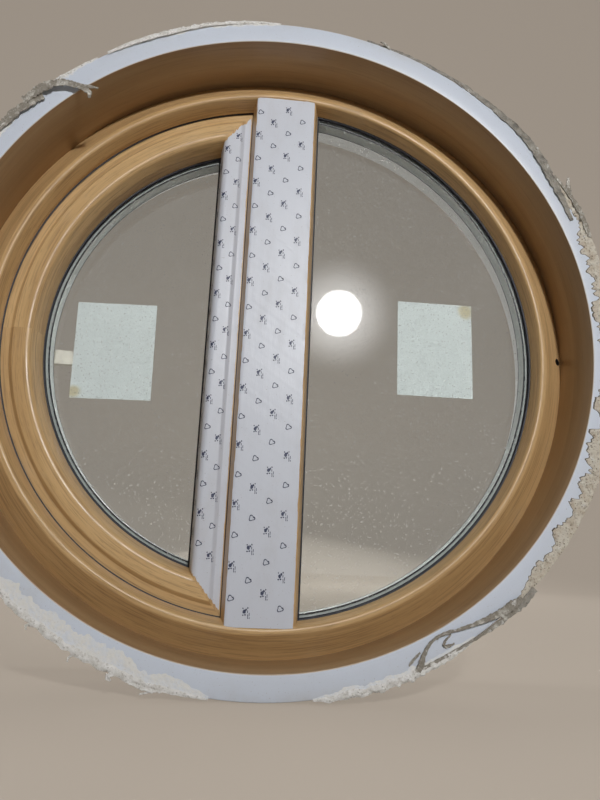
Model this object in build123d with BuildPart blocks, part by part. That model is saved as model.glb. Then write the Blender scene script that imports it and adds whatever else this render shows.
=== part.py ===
"""Round window with a fixed half and a side-hung half, both glazed.

Millimetres. +Z is up, -Y faces outdoors, +X is to the right seen from outdoors.
The origin is the centre of the ring, on the front plane of its white rim, so Y is depth.
Every section is drawn as width across the profile against depth, and is revolved
about the Y axis for a curved piece or extruded along Z for a straight one.
"""

import math
import os

from build123d import *

os.makedirs("parts", exist_ok=True)

# Depth extension, the ring with the white front rim
RIM_RADIUS = 375.0
RIM_WIDTH = 25.0
REVEAL_DEPTH = 77.0

# Fixed frame
FRAME_BACK = 137.0
FRAME_REACH = 39.0
LIP_BACK = 73.0
LIP_CROWN = 52.6
LIP_CROWN_STEP = 4.8
CROWN_ROUND = 4.0
CROWN_CUT = 4.5
REBATE = 24.0
DRAIN_INSET = 5.0
DRAIN_BORE = 8.0
DRAIN_DEPTH = 22.0

# Mullion between the two halves
MULLION_FACE = 55.0
MULLION_HALF = 41.0
MULLION_FACE_HALF = 36.5
MULLION_END_GAP = 0.3

# Opening sash
SASH_GAP = 12.0
SASH_FACE = 79.5
SASH_BACK = 157.0
SASH_FACE_WIDTH = 51.4
SASH_STEP_IN = 22.0
SASH_STEP_RISE = 4.2
SASH_CROWN_RISE = 1.0
SASH_LIP_TAPER = 4.7
SASH_LIP_BACK = 107.0
SASH_REBATE = 20.0
FLANGE_REACH = 20.0
FLANGE_THICK = 16.0
FLANGE_BEVEL = 2.5

# Sealed glass units
PANE = 4.0
CAVITY = 16.0
SPACER_HEIGHT = 10.0
SPACER_ARC_SHOW = 7.5
SPACER_BAR_HIDE = 2.0
GLASS_EDGE_GAP = 5.0
BLOCK_LENGTH = 60.0
BLOCK_RISES = (-190.0, 190.0)
BLOCK_TURNS = (-50.0, 50.0)

# Gaskets and weather seals
GASKET = 3.0
GASKET_SHOW = 1.5
GASKET_WIDTH = 6.0
SEAL_WIDTH = 5.0
SOFT_GAP = 0.3

# Glazing beads
BEAD_SLOPE = 7.0

# Protective film and labels
FILM = 0.3
FILM_EDGE = 0.8
LABEL_THICK = 0.2
SASH_LABEL = (97.0, 123.0)
SASH_LABEL_INSET = 76.8
SASH_LABEL_RISE = -4.4
SASH_LABEL_TURN = 1.3
FIXED_LABEL = (94.0, 120.5)
FIXED_LABEL_INSET = 110.5
FIXED_LABEL_RISE = 13.8
FIXED_LABEL_TURN = 0.0

# Steel inside the mullion and the stile
CHAMBER_WALL = 3.0
STEEL_GAP = 0.5
STEEL_WALL = 1.5
STILE_CHAMBER = (6.0, 26.0)
STILE_CHAMBER_DEPTH = (110.0, 140.0)
STILE_CHAMBER_END = 9.4
CONNECTOR_LENGTH = 30.0

# Hinges
HINGE_RADIUS = 7.5
HINGE_CLEAR = 0.5
HINGE_PIN = 7.0
HINGE_PIN_FIT = 0.05
HINGE_PIN_REACH = 22.0
HINGE_KNUCKLE = 34.0
HINGE_SPLIT = 0.3
HINGE_LEAF = 3.0
HINGE_LEAF_EDGE = 2.0
HINGE_LEAF_HEIGHT = 80.0
HINGE_HEIGHT = 190.0
HINGE_SASH_LEAF = 34.0

# Handle and lock
HANDLE_BACKSET = 13.5
ROSE = (27.0, 66.0)
ROSE_THICK = 11.0
ROSE_CORNER = 5.0
NECK_CLEAR = 1.5
NECK_RADIUS = 8.0
NECK_BORE_FIT = 0.08
LEVER_RISE = 38.0
LEVER_THICK = 11.0
LEVER_LENGTH = 118.0
LEVER_WIDTH = 20.0
LEVER_TIP_WIDTH = 15.0
SPINDLE = 7.0
SPINDLE_BORE = 12.0
LOCK_FRONT = 111.0
LOCK_THICK = 14.0
LOCK_HEIGHT = 58.0
LOCK_INSET = 1.5
LOCK_WALL = 1.5
LOCK_FIT = 0.1
PINION_PITCH_RADIUS = 9.5
PINION_TEETH = 15
TOOTH_TIP = 1.0
TOOTH_FOOT = 1.25
TOOTH_BACKLASH = 0.45
PRESSURE_ANGLE = 20.0
BOLT_HEIGHT = 8.0
BOLT_THICK = 8.0
BOLT_FIT = 0.1
BOLT_INSET = 0.8
BOLT_SPARE = 0.9
KEEPER_THICK = 2.5
KEEPER_FIT = 0.05
KEEPER_SIZE = (20.0, 50.0)
KEEPER_HOLE_GAP = 1.0
KEEPER_POCKET = 9.0

# Residue of plaster, foam and mastic left round the rim
CRUST_OVER = 3.5
CRUST_SKIRT = 26.0
CRUST_STEP = 5.5
CRUST_EDGE = 0.8
CRUST_RIGHT = (15.0, 4.0, 7.0)
CRUST_TOP = (3.0, 5.0, 3.0)
CRUST_LEFT = (4.0, 4.0, 4.0)
CRUST_BOTTOM_LEFT = (14.0, 5.0, 5.0)
CRUST_BOTTOM = (3.0, 9.0, 4.0)

# Torn strip that stands off the left crust, by angle and distance in from the rim's edge
STRIP_COURSE = ((140.0, -1.0), (136.5, 1.0), (133.8, 12.0), (131.6, 28.0), (131.4, 42.0))
STRIP_ROOT_HALF = 5.0
STRIP_TIP_HALF = 1.5
STRIP_RISE = 3.5
STRIP_SEAT = 0.5

# Sizes that follow from the ones above
REVEAL_RADIUS = RIM_RADIUS - RIM_WIDTH
LIP_RADIUS = REVEAL_RADIUS - FRAME_REACH
DRAIN_RADIUS = REVEAL_RADIUS - DRAIN_INSET
MULLION_FACE_LENGTH = 2 * (LIP_RADIUS + LIP_CROWN_STEP - MULLION_END_GAP)
REBATE_RADIUS = LIP_RADIUS + REBATE
WEB_HALF = MULLION_HALF - REBATE
SASH_RADIUS = REBATE_RADIUS - SASH_GAP
SASH_HALF = WEB_HALF + SASH_GAP
SASH_LIP_RADIUS = SASH_RADIUS - SASH_FACE_WIDTH
SASH_LIP_HALF = SASH_HALF + SASH_FACE_WIDTH
SASH_REBATE_RADIUS = SASH_LIP_RADIUS + SASH_REBATE
SASH_REBATE_HALF = SASH_LIP_HALF - SASH_REBATE
STILE_CLEAR_HALF = math.sqrt(SASH_LIP_RADIUS**2 - SASH_LIP_HALF**2)
STILE_CHAMBER_LENGTH = 2 * (STILE_CLEAR_HALF - STILE_CHAMBER_END)
SASH_LABEL_AT = (SASH_LABEL_INSET - SASH_LIP_RADIUS, SASH_LABEL_RISE)
FIXED_LABEL_AT = (LIP_RADIUS - FIXED_LABEL_INSET, FIXED_LABEL_RISE)
FLANGE_RADIUS = SASH_RADIUS + FLANGE_REACH
FLANGE_HALF = SASH_HALF - FLANGE_REACH
UNIT = 2 * PANE + CAVITY
FIXED_GLASS = LIP_BACK + GASKET
SASH_GLASS = SASH_LIP_BACK + GASKET
HINGE_X = -FLANGE_HALF + HINGE_CLEAR + HINGE_RADIUS
HINGE_Y = SASH_BACK
HANDLE_X = -(SASH_RADIUS - HANDLE_BACKSET)
LOCK_BACK = LOCK_FRONT + LOCK_THICK
LOCK_MIDDLE = (LOCK_FRONT + LOCK_BACK) / 2
PINION_THICK = LOCK_THICK - 2 * LOCK_FIT
LOCK_FACE_X = -(SASH_RADIUS - LOCK_INSET)
LOCK_TAIL_X = -(SASH_REBATE_RADIUS + LOCK_WALL)
BOLT_TRAVEL = PINION_PITCH_RADIUS * math.pi / 2
FAR = 2 * RIM_RADIUS


def section_plane(edge, inward):
    """Plane of a section whose width runs from x = edge towards inward, +1 or -1."""
    return Plane(origin=(edge, 0, 0), x_dir=(inward, 0, 0), z_dir=(0, 0, inward))


def face_plane(depth):
    """Plane across the window at a depth, seen from outdoors, X right and Z up."""
    return Plane.XZ.offset(-depth)


def half_disc(radius, chord, side):
    """Round outline cut off straight along the mullion, on one side of it."""
    with BuildSketch() as outline:
        Circle(radius)
        with Locations((side * (chord + radius), 0)):
            Rectangle(2 * radius, 2 * radius, mode=Mode.INTERSECT)
    return outline.sketch


def half_band(outer, outer_chord, inner, inner_chord, side):
    """Closed band between two half discs, one within the other."""
    with BuildSketch() as outline:
        add(half_disc(outer, outer_chord, side))
        add(half_disc(inner, inner_chord, side), mode=Mode.SUBTRACT)
    return outline.sketch


def mitre_point(radius, half, width, side):
    """Where the curved and the straight piece meet, this width into the profile."""
    across = half + width
    return side * across, math.sqrt((radius - width) ** 2 - across**2)


def straight_zone(radius, half, first, last, side):
    """Area of the straight piece, cut off from the curved one along two straight mitres."""
    (x_a, z_a) = mitre_point(radius, half, first, side)
    (x_b, z_b) = mitre_point(radius, half, last, side)
    slope = (z_a - z_b) / (x_a - x_b)
    x_out = -side * FAR
    x_in = x_b + side * SASH_REBATE
    x_top = x_a - side * 2 * REBATE
    z_in = z_b + slope * (x_in - x_b)
    z_top = z_a + slope * (x_top - x_a)
    with BuildSketch() as outline:
        Polygon(
            (x_out, FAR),
            (x_top, FAR),
            (x_top, z_top),
            (x_in, z_in),
            (x_in, -z_in),
            (x_top, -z_top),
            (x_top, -FAR),
            (x_out, -FAR),
            align=None,
        )
    return outline.sketch


def curved_piece(section, edge_radius, side, zone):
    """Revolves a section round the window and cuts away the straight piece's area."""
    with BuildPart() as piece:
        with BuildSketch(section_plane(side * edge_radius, -side)):
            add(section)
        revolve(axis=Axis.Y)
        with BuildSketch(face_plane(0)):
            add(zone)
        extrude(amount=FAR, both=True, mode=Mode.SUBTRACT)
    return piece.part


def straight_piece(section, edge_half, side, zone):
    """Extrudes a section along the mullion and keeps it inside its own area."""
    with BuildPart() as piece:
        with BuildSketch(section_plane(side * edge_half, side)):
            add(section)
        extrude(amount=RIM_RADIUS, both=True)
        with BuildSketch(face_plane(0)):
            add(zone)
        extrude(amount=FAR, both=True, mode=Mode.INTERSECT)
    return piece.part


def write(piece, name):
    """Labels a finished piece and writes it under its node's name."""
    piece.part.label = name
    export_step(piece.part, f"parts/{name}.step")


# Depth extension: a deep ring that stands in front of the frame
with BuildPart() as depth_extension:
    with BuildSketch(Plane.XY):
        with BuildLine():
            Polyline(
                (REVEAL_RADIUS, 0),
                (RIM_RADIUS, 0),
                (RIM_RADIUS, REVEAL_DEPTH),
                (REVEAL_RADIUS, REVEAL_DEPTH),
                close=True,
            )
        make_face()
    revolve(axis=Axis.Y)
write(depth_extension, "depth_extension")

# Fixed frame: its face climbs inwards to a rounded crown above the glazing rebate
lip_corner = (LIP_RADIUS + LIP_CROWN_STEP, LIP_CROWN)
with BuildSketch(Plane.XY) as frame_section:
    with BuildLine():
        Polyline(
            (RIM_RADIUS, REVEAL_DEPTH),
            (REVEAL_RADIUS, REVEAL_DEPTH),
            lip_corner,
            (LIP_RADIUS, LIP_BACK),
            (REBATE_RADIUS, LIP_BACK),
            (REBATE_RADIUS, FRAME_BACK),
            (RIM_RADIUS, FRAME_BACK),
            close=True,
        )
    make_face()
    chamfer(frame_section.vertices().sort_by(Axis.Y)[0], CROWN_CUT)

with BuildPart() as frame_ring:
    with BuildSketch(Plane.XY):
        add(frame_section.sketch)
    revolve(axis=Axis.Y)

bolt_z = -(PINION_PITCH_RADIUS + TOOTH_FOOT + BOLT_HEIGHT / 2)
keeper_hole = BOLT_HEIGHT + 2 * KEEPER_HOLE_GAP

with BuildPart() as outer_frame:
    add(frame_ring.part)
    with Locations(Location((DRAIN_RADIUS, REVEAL_DEPTH, 0), (90, 0, 0))):
        Cylinder(DRAIN_BORE / 2, 2 * DRAIN_DEPTH, mode=Mode.SUBTRACT)
    with Locations(Location((-REBATE_RADIUS, LOCK_MIDDLE, bolt_z))):
        Box(2 * KEEPER_POCKET, keeper_hole, keeper_hole, mode=Mode.SUBTRACT)
write(outer_frame, "outer_frame")

# Mullion: a front flange coped over the crown of the ring, and a web into the rebate
with BuildSketch(Plane.XY) as mullion_flange:
    with BuildLine():
        Polyline(
            (-MULLION_HALF, LIP_BACK),
            (-MULLION_FACE_HALF, MULLION_FACE),
            (MULLION_FACE_HALF, MULLION_FACE),
            (MULLION_HALF, LIP_BACK),
            close=True,
        )
    make_face()
    fillet(mullion_flange.vertices().sort_by(Axis.Y)[:2], CROWN_ROUND)

chamber_half = WEB_HALF - CHAMBER_WALL
chamber_middle = (LIP_BACK + FRAME_BACK) / 2
chamber_deep = FRAME_BACK - LIP_BACK - 2 * CHAMBER_WALL

with BuildPart() as mullion:
    with BuildSketch(Plane.XY):
        add(mullion_flange.sketch)
    extrude(amount=MULLION_FACE_LENGTH / 2, both=True)
    add(frame_ring.part, mode=Mode.SUBTRACT)
    with BuildSketch(Plane.XY):
        with Locations((0, chamber_middle)):
            Rectangle(2 * WEB_HALF, FRAME_BACK - LIP_BACK)
    extrude(amount=RIM_RADIUS, both=True)
    with Locations(Location((0, 0, 0), (90, 0, 0))):
        Cylinder(REBATE_RADIUS, 4 * FRAME_BACK, mode=Mode.INTERSECT)
    with BuildSketch(Plane.XY):
        with Locations((0, chamber_middle)):
            Rectangle(2 * chamber_half, chamber_deep)
    extrude(amount=RIM_RADIUS, both=True, mode=Mode.SUBTRACT)
write(mullion, "mullion")

steel_half = chamber_half - STEEL_GAP
steel_deep = chamber_deep - 2 * STEEL_GAP
steel_length = 2 * (REBATE_RADIUS - CONNECTOR_LENGTH / 2)
with BuildPart() as mullion_steel:
    with BuildSketch(Plane.XY):
        with Locations((0, chamber_middle)):
            Rectangle(2 * steel_half, steel_deep)
            Rectangle(
                2 * (steel_half - STEEL_WALL),
                steel_deep - 2 * STEEL_WALL,
                mode=Mode.SUBTRACT,
            )
    extrude(amount=steel_length / 2, both=True)
write(mullion_steel, "mullion_steel")

with BuildPart() as mullion_connectors:
    for top in (1, -1):
        connector_z = top * (steel_length / 2 - CONNECTOR_LENGTH / 2)
        with Locations((0, chamber_middle, connector_z)):
            Box(
                2 * (steel_half - STEEL_WALL),
                steel_deep - 2 * STEEL_WALL,
                CONNECTOR_LENGTH,
            )
write(mullion_connectors, "mullion_connectors")


def sheet_over(section, across, deep):
    """Thin sheet that follows a section's face inside a window across by deep."""
    with BuildSketch() as sheet:
        add(section)
        offset(amount=FILM)
        add(section, mode=Mode.SUBTRACT)
        with Locations((sum(across) / 2, sum(deep) / 2)):
            Rectangle(across[1] - across[0], deep[1] - deep[0], mode=Mode.INTERSECT)
    return sheet.sketch


mullion_sheet = sheet_over(
    mullion_flange.sketch,
    (-MULLION_FACE_HALF, MULLION_FACE_HALF),
    (MULLION_FACE - 2 * FILM, MULLION_FACE + CROWN_ROUND / 2),
)
with BuildPart() as mullion_film:
    with BuildSketch(Plane.XY):
        add(mullion_sheet)
    extrude(amount=MULLION_FACE_LENGTH / 2, both=True)
    add(frame_ring.part, mode=Mode.SUBTRACT)
write(mullion_film, "mullion_film")

# Sash: one welded frame with the same section round the arc and up the stile
sash_crown = SASH_FACE - SASH_STEP_RISE - SASH_CROWN_RISE
with BuildSketch(Plane.XY) as sash_section:
    with BuildLine():
        Polyline(
            (0, SASH_FACE),
            (SASH_STEP_IN, SASH_FACE),
            (SASH_STEP_IN + SASH_STEP_RISE, SASH_FACE - SASH_STEP_RISE),
            (SASH_FACE_WIDTH - SASH_LIP_TAPER, sash_crown),
            (SASH_FACE_WIDTH, SASH_LIP_BACK),
            (SASH_FACE_WIDTH - SASH_REBATE, SASH_LIP_BACK),
            (SASH_FACE_WIDTH - SASH_REBATE, SASH_BACK),
            (-FLANGE_REACH, SASH_BACK),
            (-FLANGE_REACH, SASH_BACK - FLANGE_THICK),
            (0, SASH_BACK - FLANGE_THICK),
            close=True,
        )
    make_face()
    chamfer(sash_section.vertices().sort_by(Axis.Y)[0], CROWN_CUT)
    flange_corners = sash_section.vertices().group_by(Axis.X)[0]
    chamfer(flange_corners.sort_by(Axis.Y)[-1], FLANGE_BEVEL)

sash_zone = straight_zone(SASH_RADIUS, SASH_HALF, SASH_GAP, SASH_FACE_WIDTH, -1)
stile_chamber_middle = -(SASH_HALF + sum(STILE_CHAMBER) / 2)
stile_chamber_depth = sum(STILE_CHAMBER_DEPTH) / 2
stile_chamber_wide = STILE_CHAMBER[1] - STILE_CHAMBER[0]
stile_chamber_deep = STILE_CHAMBER_DEPTH[1] - STILE_CHAMBER_DEPTH[0]

with BuildPart() as sash_frame:
    add(curved_piece(sash_section.sketch, SASH_RADIUS, -1, sash_zone))
    add(straight_piece(sash_section.sketch, SASH_HALF, -1, sash_zone))
    with Locations(Location((0, 0, 0), (90, 0, 0))):
        Cylinder(FLANGE_RADIUS, 4 * SASH_BACK, mode=Mode.INTERSECT)
    with Locations((stile_chamber_middle, stile_chamber_depth, 0)):
        Box(
            stile_chamber_wide,
            stile_chamber_deep,
            STILE_CHAMBER_LENGTH,
            mode=Mode.SUBTRACT,
        )
    with Locations(((LOCK_FACE_X - 2 * LOCK_INSET + LOCK_TAIL_X) / 2, LOCK_MIDDLE, 0)):
        Box(
            LOCK_TAIL_X - LOCK_FACE_X + 2 * LOCK_INSET,
            LOCK_THICK,
            LOCK_HEIGHT,
            mode=Mode.SUBTRACT,
        )
    with BuildSketch(face_plane(SASH_BACK)):
        with Locations((HANDLE_X, 0)):
            Circle(SPINDLE_BORE / 2)
    extrude(amount=SASH_BACK - LOCK_BACK, mode=Mode.SUBTRACT)
write(sash_frame, "sash_frame")

with BuildPart() as stile_steel:
    with BuildSketch(Plane.XY):
        with Locations((stile_chamber_middle, stile_chamber_depth)):
            Rectangle(
                stile_chamber_wide - 2 * STEEL_GAP,
                stile_chamber_deep - 2 * STEEL_GAP,
            )
            Rectangle(
                stile_chamber_wide - 2 * STEEL_GAP - 2 * STEEL_WALL,
                stile_chamber_deep - 2 * STEEL_GAP - 2 * STEEL_WALL,
                mode=Mode.SUBTRACT,
            )
    extrude(amount=STILE_CHAMBER_LENGTH / 2 - STEEL_GAP, both=True)
write(stile_steel, "stile_steel")

sash_sheet = sheet_over(
    sash_section.sketch,
    (SASH_GAP + FILM_EDGE + GASKET_SHOW, SASH_FACE_WIDTH - FILM_EDGE),
    (sash_crown - 2 * FILM, SASH_FACE + FILM_EDGE),
)
with BuildPart() as sash_film:
    add(straight_piece(sash_sheet, SASH_HALF, -1, sash_zone))
write(sash_film, "sash_film")


def write_band(name, outline, first, last):
    """Writes a flat piece with an outline across the window between two depths."""
    with BuildPart() as band:
        with BuildSketch(face_plane(first)):
            add(outline)
        extrude(amount=first - last)
    write(band, name)


def setting_blocks(name, outline, radius, chord, side, first, last):
    """Writes the packers that hold the glass edge off the rebate."""
    places = [(side * chord, z) for z in BLOCK_RISES]
    with BuildSketch() as squares:
        with Locations(*places):
            Rectangle(4 * GLASS_EDGE_GAP, BLOCK_LENGTH)
        for turn in BLOCK_TURNS:
            angle = math.radians(turn)
            across = side * radius * math.cos(angle)
            with Locations(Location((across, radius * math.sin(angle)), side * turn)):
                Rectangle(4 * GLASS_EDGE_GAP, BLOCK_LENGTH)
    with BuildPart() as blocks:
        with BuildSketch(face_plane(first)):
            add(outline)
            add(squares.sketch, mode=Mode.INTERSECT)
        extrude(amount=first - last)
    write(blocks, name)


def bead_section(width, first, last):
    """Glazing bead seen across, from the rebate wall to its sloping face."""
    with BuildSketch() as section:
        with BuildLine():
            Polyline(
                (0, first),
                (width, first),
                (width - BEAD_SLOPE, last),
                (0, last),
                close=True,
            )
        make_face()
    return section.sketch


def write_label(name, size, place, turn, depth):
    """Writes a paper label stuck on the indoor side of a glass unit."""
    with BuildPart() as label:
        with BuildSketch(face_plane(depth)):
            with Locations(Location((place[0], place[1]), turn)):
                Rectangle(*size)
        extrude(amount=-LABEL_THICK)
    write(label, name)


def glaze(half, side, radius, chord, width, glass, back):
    """Writes one half's sealed unit, gaskets, packers and beads.

    The radius and chord are those of the rebate wall, and the width is its height.
    """
    lip, lip_chord = radius - width, chord + width
    edge, edge_chord = radius - GLASS_EDGE_GAP, chord + GLASS_EDGE_GAP
    bar_in, bar_in_chord = lip - SPACER_ARC_SHOW, lip_chord - SPACER_BAR_HIDE
    bar_out, bar_out_chord = bar_in + SPACER_HEIGHT, bar_in_chord - SPACER_HEIGHT
    cavity, indoor = glass + PANE, glass + UNIT
    pane = half_disc(edge, edge_chord, side)
    spacer = half_band(bar_out, bar_out_chord, bar_in, bar_in_chord, side)
    gap = half_band(radius, chord, edge, edge_chord, side)
    hidden = GASKET_WIDTH - GASKET_SHOW
    gasket = half_band(
        lip + hidden, lip_chord - hidden, lip - GASKET_SHOW, lip_chord + GASKET_SHOW, side
    )
    write_band(f"{half}_outer_pane", pane, glass, cavity)
    write_band(f"{half}_inner_pane", pane, indoor - PANE, indoor)
    write_band(f"{half}_spacer", spacer, cavity, cavity + CAVITY)
    write_band(f"{half}_outer_gasket", gasket, glass - GASKET, glass)
    setting_blocks(f"{half}_setting_blocks", gap, radius, chord, side, glass, indoor)
    bead = bead_section(width, indoor, back)
    zone = straight_zone(radius, chord, 0, width, side)
    with BuildPart() as curved_bead:
        add(curved_piece(bead, radius, side, zone))
    write(curved_bead, f"{half}_curved_bead")
    with BuildPart() as straight_bead:
        add(straight_piece(bead, chord, side, zone))
        with Locations(Location((0, 0, 0), (90, 0, 0))):
            Cylinder(radius, 4 * back, mode=Mode.INTERSECT)
    write(straight_bead, f"{half}_straight_bead")


glaze(
    "sash", -1, SASH_REBATE_RADIUS, SASH_REBATE_HALF, SASH_REBATE, SASH_GLASS, SASH_BACK
)
glaze("fixed", 1, REBATE_RADIUS, WEB_HALF, REBATE, FIXED_GLASS, FRAME_BACK)
write_label(
    "sash_label", SASH_LABEL, SASH_LABEL_AT, SASH_LABEL_TURN, SASH_GLASS + UNIT
)
write_label(
    "fixed_label", FIXED_LABEL, FIXED_LABEL_AT, FIXED_LABEL_TURN, FIXED_GLASS + UNIT
)

# Weather seals, one on the frame's lip and one under the sash's overlap flange
seal_hidden = SEAL_WIDTH - GASKET_SHOW
frame_seal_outline = half_band(
    LIP_RADIUS + seal_hidden,
    MULLION_HALF - seal_hidden,
    LIP_RADIUS - GASKET_SHOW,
    MULLION_HALF + GASKET_SHOW,
    -1,
)
write_band("frame_seal", frame_seal_outline, LIP_BACK, SASH_FACE - SOFT_GAP)
overlap_outer = FLANGE_RADIUS - FLANGE_BEVEL
overlap_chord = FLANGE_HALF + FLANGE_BEVEL
sash_seal_outline = half_band(
    overlap_outer,
    overlap_chord,
    overlap_outer - SEAL_WIDTH,
    overlap_chord + SEAL_WIDTH,
    -1,
)
write_band(
    "sash_seal", sash_seal_outline, FRAME_BACK + SOFT_GAP, SASH_BACK - FLANGE_THICK
)

# Hinges on the indoor side: a frame leaf below, a sash leaf above and the pin through both
knuckle_clear = HINGE_RADIUS + 2 * HINGE_CLEAR
leaf_left = -FLANGE_HALF + HINGE_LEAF
leaf_right = WEB_HALF - HINGE_LEAF_EDGE / 2
sash_leaf_right = HINGE_X - knuckle_clear

hinge_middles = (HINGE_HEIGHT, -HINGE_HEIGHT)

with BuildPart() as hinge_frame_leaves:
    for middle in hinge_middles:
        with BuildSketch(Plane.XY.offset(middle - HINGE_SPLIT / 2)):
            with Locations((HINGE_X, HINGE_Y)):
                Circle(HINGE_RADIUS)
            with Locations(((leaf_left + HINGE_X) / 2, (FRAME_BACK + HINGE_Y) / 2)):
                Rectangle(HINGE_X - leaf_left, HINGE_Y - FRAME_BACK)
        extrude(amount=-HINGE_KNUCKLE)
        leaf_middle = ((leaf_left + leaf_right) / 2, FRAME_BACK + HINGE_LEAF / 2, middle)
        with Locations(leaf_middle):
            Box(leaf_right - leaf_left, HINGE_LEAF, HINGE_LEAF_HEIGHT)
        with Locations((HINGE_X, HINGE_Y, middle)):
            Cylinder(HINGE_PIN / 2, 2 * HINGE_PIN_REACH)
write(hinge_frame_leaves, "hinge_frame_leaves")

with BuildPart() as hinge_sash_leaves:
    for middle in hinge_middles:
        with BuildSketch(Plane.XY.offset(middle + HINGE_SPLIT / 2)):
            with Locations((HINGE_X, HINGE_Y)):
                Circle(HINGE_RADIUS)
            with Locations(((sash_leaf_right + HINGE_X) / 2, HINGE_Y + HINGE_LEAF / 2)):
                Rectangle(HINGE_X - sash_leaf_right, HINGE_LEAF)
        extrude(amount=HINGE_KNUCKLE)
        plate_x = sash_leaf_right - HINGE_SASH_LEAF / 2
        with Locations((plate_x, SASH_BACK + HINGE_LEAF / 2, middle)):
            Box(HINGE_SASH_LEAF, HINGE_LEAF, HINGE_LEAF_HEIGHT)
    for middle in hinge_middles:
        with Locations((HINGE_X, HINGE_Y, middle)):
            Cylinder(
                HINGE_PIN / 2 + HINGE_PIN_FIT,
                2 * (HINGE_PIN_REACH + HINGE_SPLIT),
                mode=Mode.SUBTRACT,
            )
write(hinge_sash_leaves, "hinge_sash_leaves")

# Lock: a pinion turned by the handle drives a toothed bolt out into the keeper
tooth_pitch = 2 * math.pi * PINION_PITCH_RADIUS / PINION_TEETH
tooth_half = (tooth_pitch / 2 - TOOTH_BACKLASH) / 2
flank = math.tan(math.radians(PRESSURE_ANGLE))
tip_half = tooth_half - TOOTH_TIP * flank
foot_half = tooth_half + TOOTH_FOOT * flank
pinion_tip = PINION_PITCH_RADIUS + TOOTH_TIP
pinion_foot = PINION_PITCH_RADIUS - TOOTH_FOOT
tooth_turn = 360 / PINION_TEETH
bolt_top = -(PINION_PITCH_RADIUS + TOOTH_FOOT)
bolt_tip = -(SASH_RADIUS - BOLT_INSET)
bolt_tail = HANDLE_X + BOLT_TRAVEL + BOLT_SPARE

tooth_outline = []
for tooth in range(PINION_TEETH):
    turn = math.radians(tooth * tooth_turn - 90)
    for reach, half in (
        (pinion_foot, -foot_half),
        (pinion_tip, -tip_half),
        (pinion_tip, tip_half),
        (pinion_foot, foot_half),
    ):
        tooth_outline.append(
            (
                HANDLE_X + reach * math.cos(turn) - half * math.sin(turn),
                reach * math.sin(turn) + half * math.cos(turn),
            )
        )

with BuildPart() as lock_pinion:
    with BuildSketch(face_plane(LOCK_MIDDLE)):
        Polygon(*tooth_outline, align=None)
    extrude(amount=PINION_THICK / 2, both=True)
    with Locations((HANDLE_X, LOCK_MIDDLE, 0)):
        Box(SPINDLE, 2 * PINION_THICK, SPINDLE, mode=Mode.SUBTRACT)
write(lock_pinion, "lock_pinion")

with BuildPart() as lock_bolt:
    with BuildSketch(face_plane(LOCK_MIDDLE)):
        with Locations(((bolt_tip + bolt_tail) / 2, bolt_z)):
            Rectangle(bolt_tail - bolt_tip, BOLT_HEIGHT)
        for tooth in range(-2, PINION_TEETH // 4 + 1):
            with Locations((HANDLE_X + (tooth + 0.5) * tooth_pitch, bolt_top)):
                Polygon(
                    (-foot_half, -TOOTH_TIP),
                    (foot_half, -TOOTH_TIP),
                    (foot_half, 0),
                    (tip_half, TOOTH_TIP + TOOTH_FOOT),
                    (-tip_half, TOOTH_TIP + TOOTH_FOOT),
                    (-foot_half, 0),
                    align=None,
                )
    extrude(amount=BOLT_THICK / 2, both=True)
write(lock_bolt, "lock_bolt")

channel_low = bolt_top - BOLT_HEIGHT - BOLT_FIT
channel_high = bolt_top + TOOTH_TIP + TOOTH_FOOT + BOLT_FIT
lock_wide = LOCK_TAIL_X - LOCK_FACE_X
pinion_room = 2 * (pinion_tip + 2 * LOCK_FIT)
with BuildPart() as lock_case:
    with Locations(((LOCK_FACE_X + LOCK_TAIL_X) / 2, LOCK_MIDDLE, 0)):
        Box(lock_wide, LOCK_THICK, LOCK_HEIGHT)
    with Locations((HANDLE_X, LOCK_MIDDLE, 0)):
        Box(pinion_room, 2 * LOCK_THICK, pinion_room, mode=Mode.SUBTRACT)
    with Locations((HANDLE_X, LOCK_MIDDLE, (channel_low + channel_high) / 2)):
        Box(
            3 * lock_wide,
            BOLT_THICK + 2 * BOLT_FIT,
            channel_high - channel_low,
            mode=Mode.SUBTRACT,
        )
write(lock_case, "lock_case")

# Handle on its rose, in the open position with the lever level
rose_back = SASH_BACK + ROSE_THICK
with BuildPart() as handle_rose:
    with BuildSketch(face_plane(SASH_BACK)):
        with Locations((HANDLE_X, 0)):
            rose_outline = Rectangle(*ROSE)
        chamfer(rose_outline.vertices(), ROSE_CORNER)
    extrude(amount=-ROSE_THICK)
    with Locations(Location((HANDLE_X, rose_back, 0), (90, 0, 0))):
        Cylinder(NECK_RADIUS + NECK_BORE_FIT, 4 * ROSE_THICK, mode=Mode.SUBTRACT)
write(handle_rose, "handle_rose")

lever_front = rose_back + LEVER_RISE - LEVER_THICK
neck_start = SASH_BACK + NECK_CLEAR
socket_end = rose_back + ROSE_THICK
with BuildPart() as handle_lever:
    with BuildSketch(face_plane(neck_start)):
        with Locations((HANDLE_X, 0)):
            Circle(NECK_RADIUS)
    extrude(amount=neck_start - lever_front - LEVER_THICK)
    with BuildSketch(face_plane(lever_front)):
        with Locations((HANDLE_X, 0)):
            Circle(LEVER_WIDTH / 2)
        with Locations((HANDLE_X + LEVER_LENGTH - LEVER_TIP_WIDTH / 2, 0)):
            Circle(LEVER_TIP_WIDTH / 2)
        make_hull()
    extrude(amount=-LEVER_THICK)
    with Locations((HANDLE_X, socket_end, 0)):
        Box(
            SPINDLE,
            socket_end - neck_start,
            SPINDLE,
            align=(Align.CENTER, Align.MAX, Align.CENTER),
            mode=Mode.SUBTRACT,
        )
write(handle_lever, "handle_lever")

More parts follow.
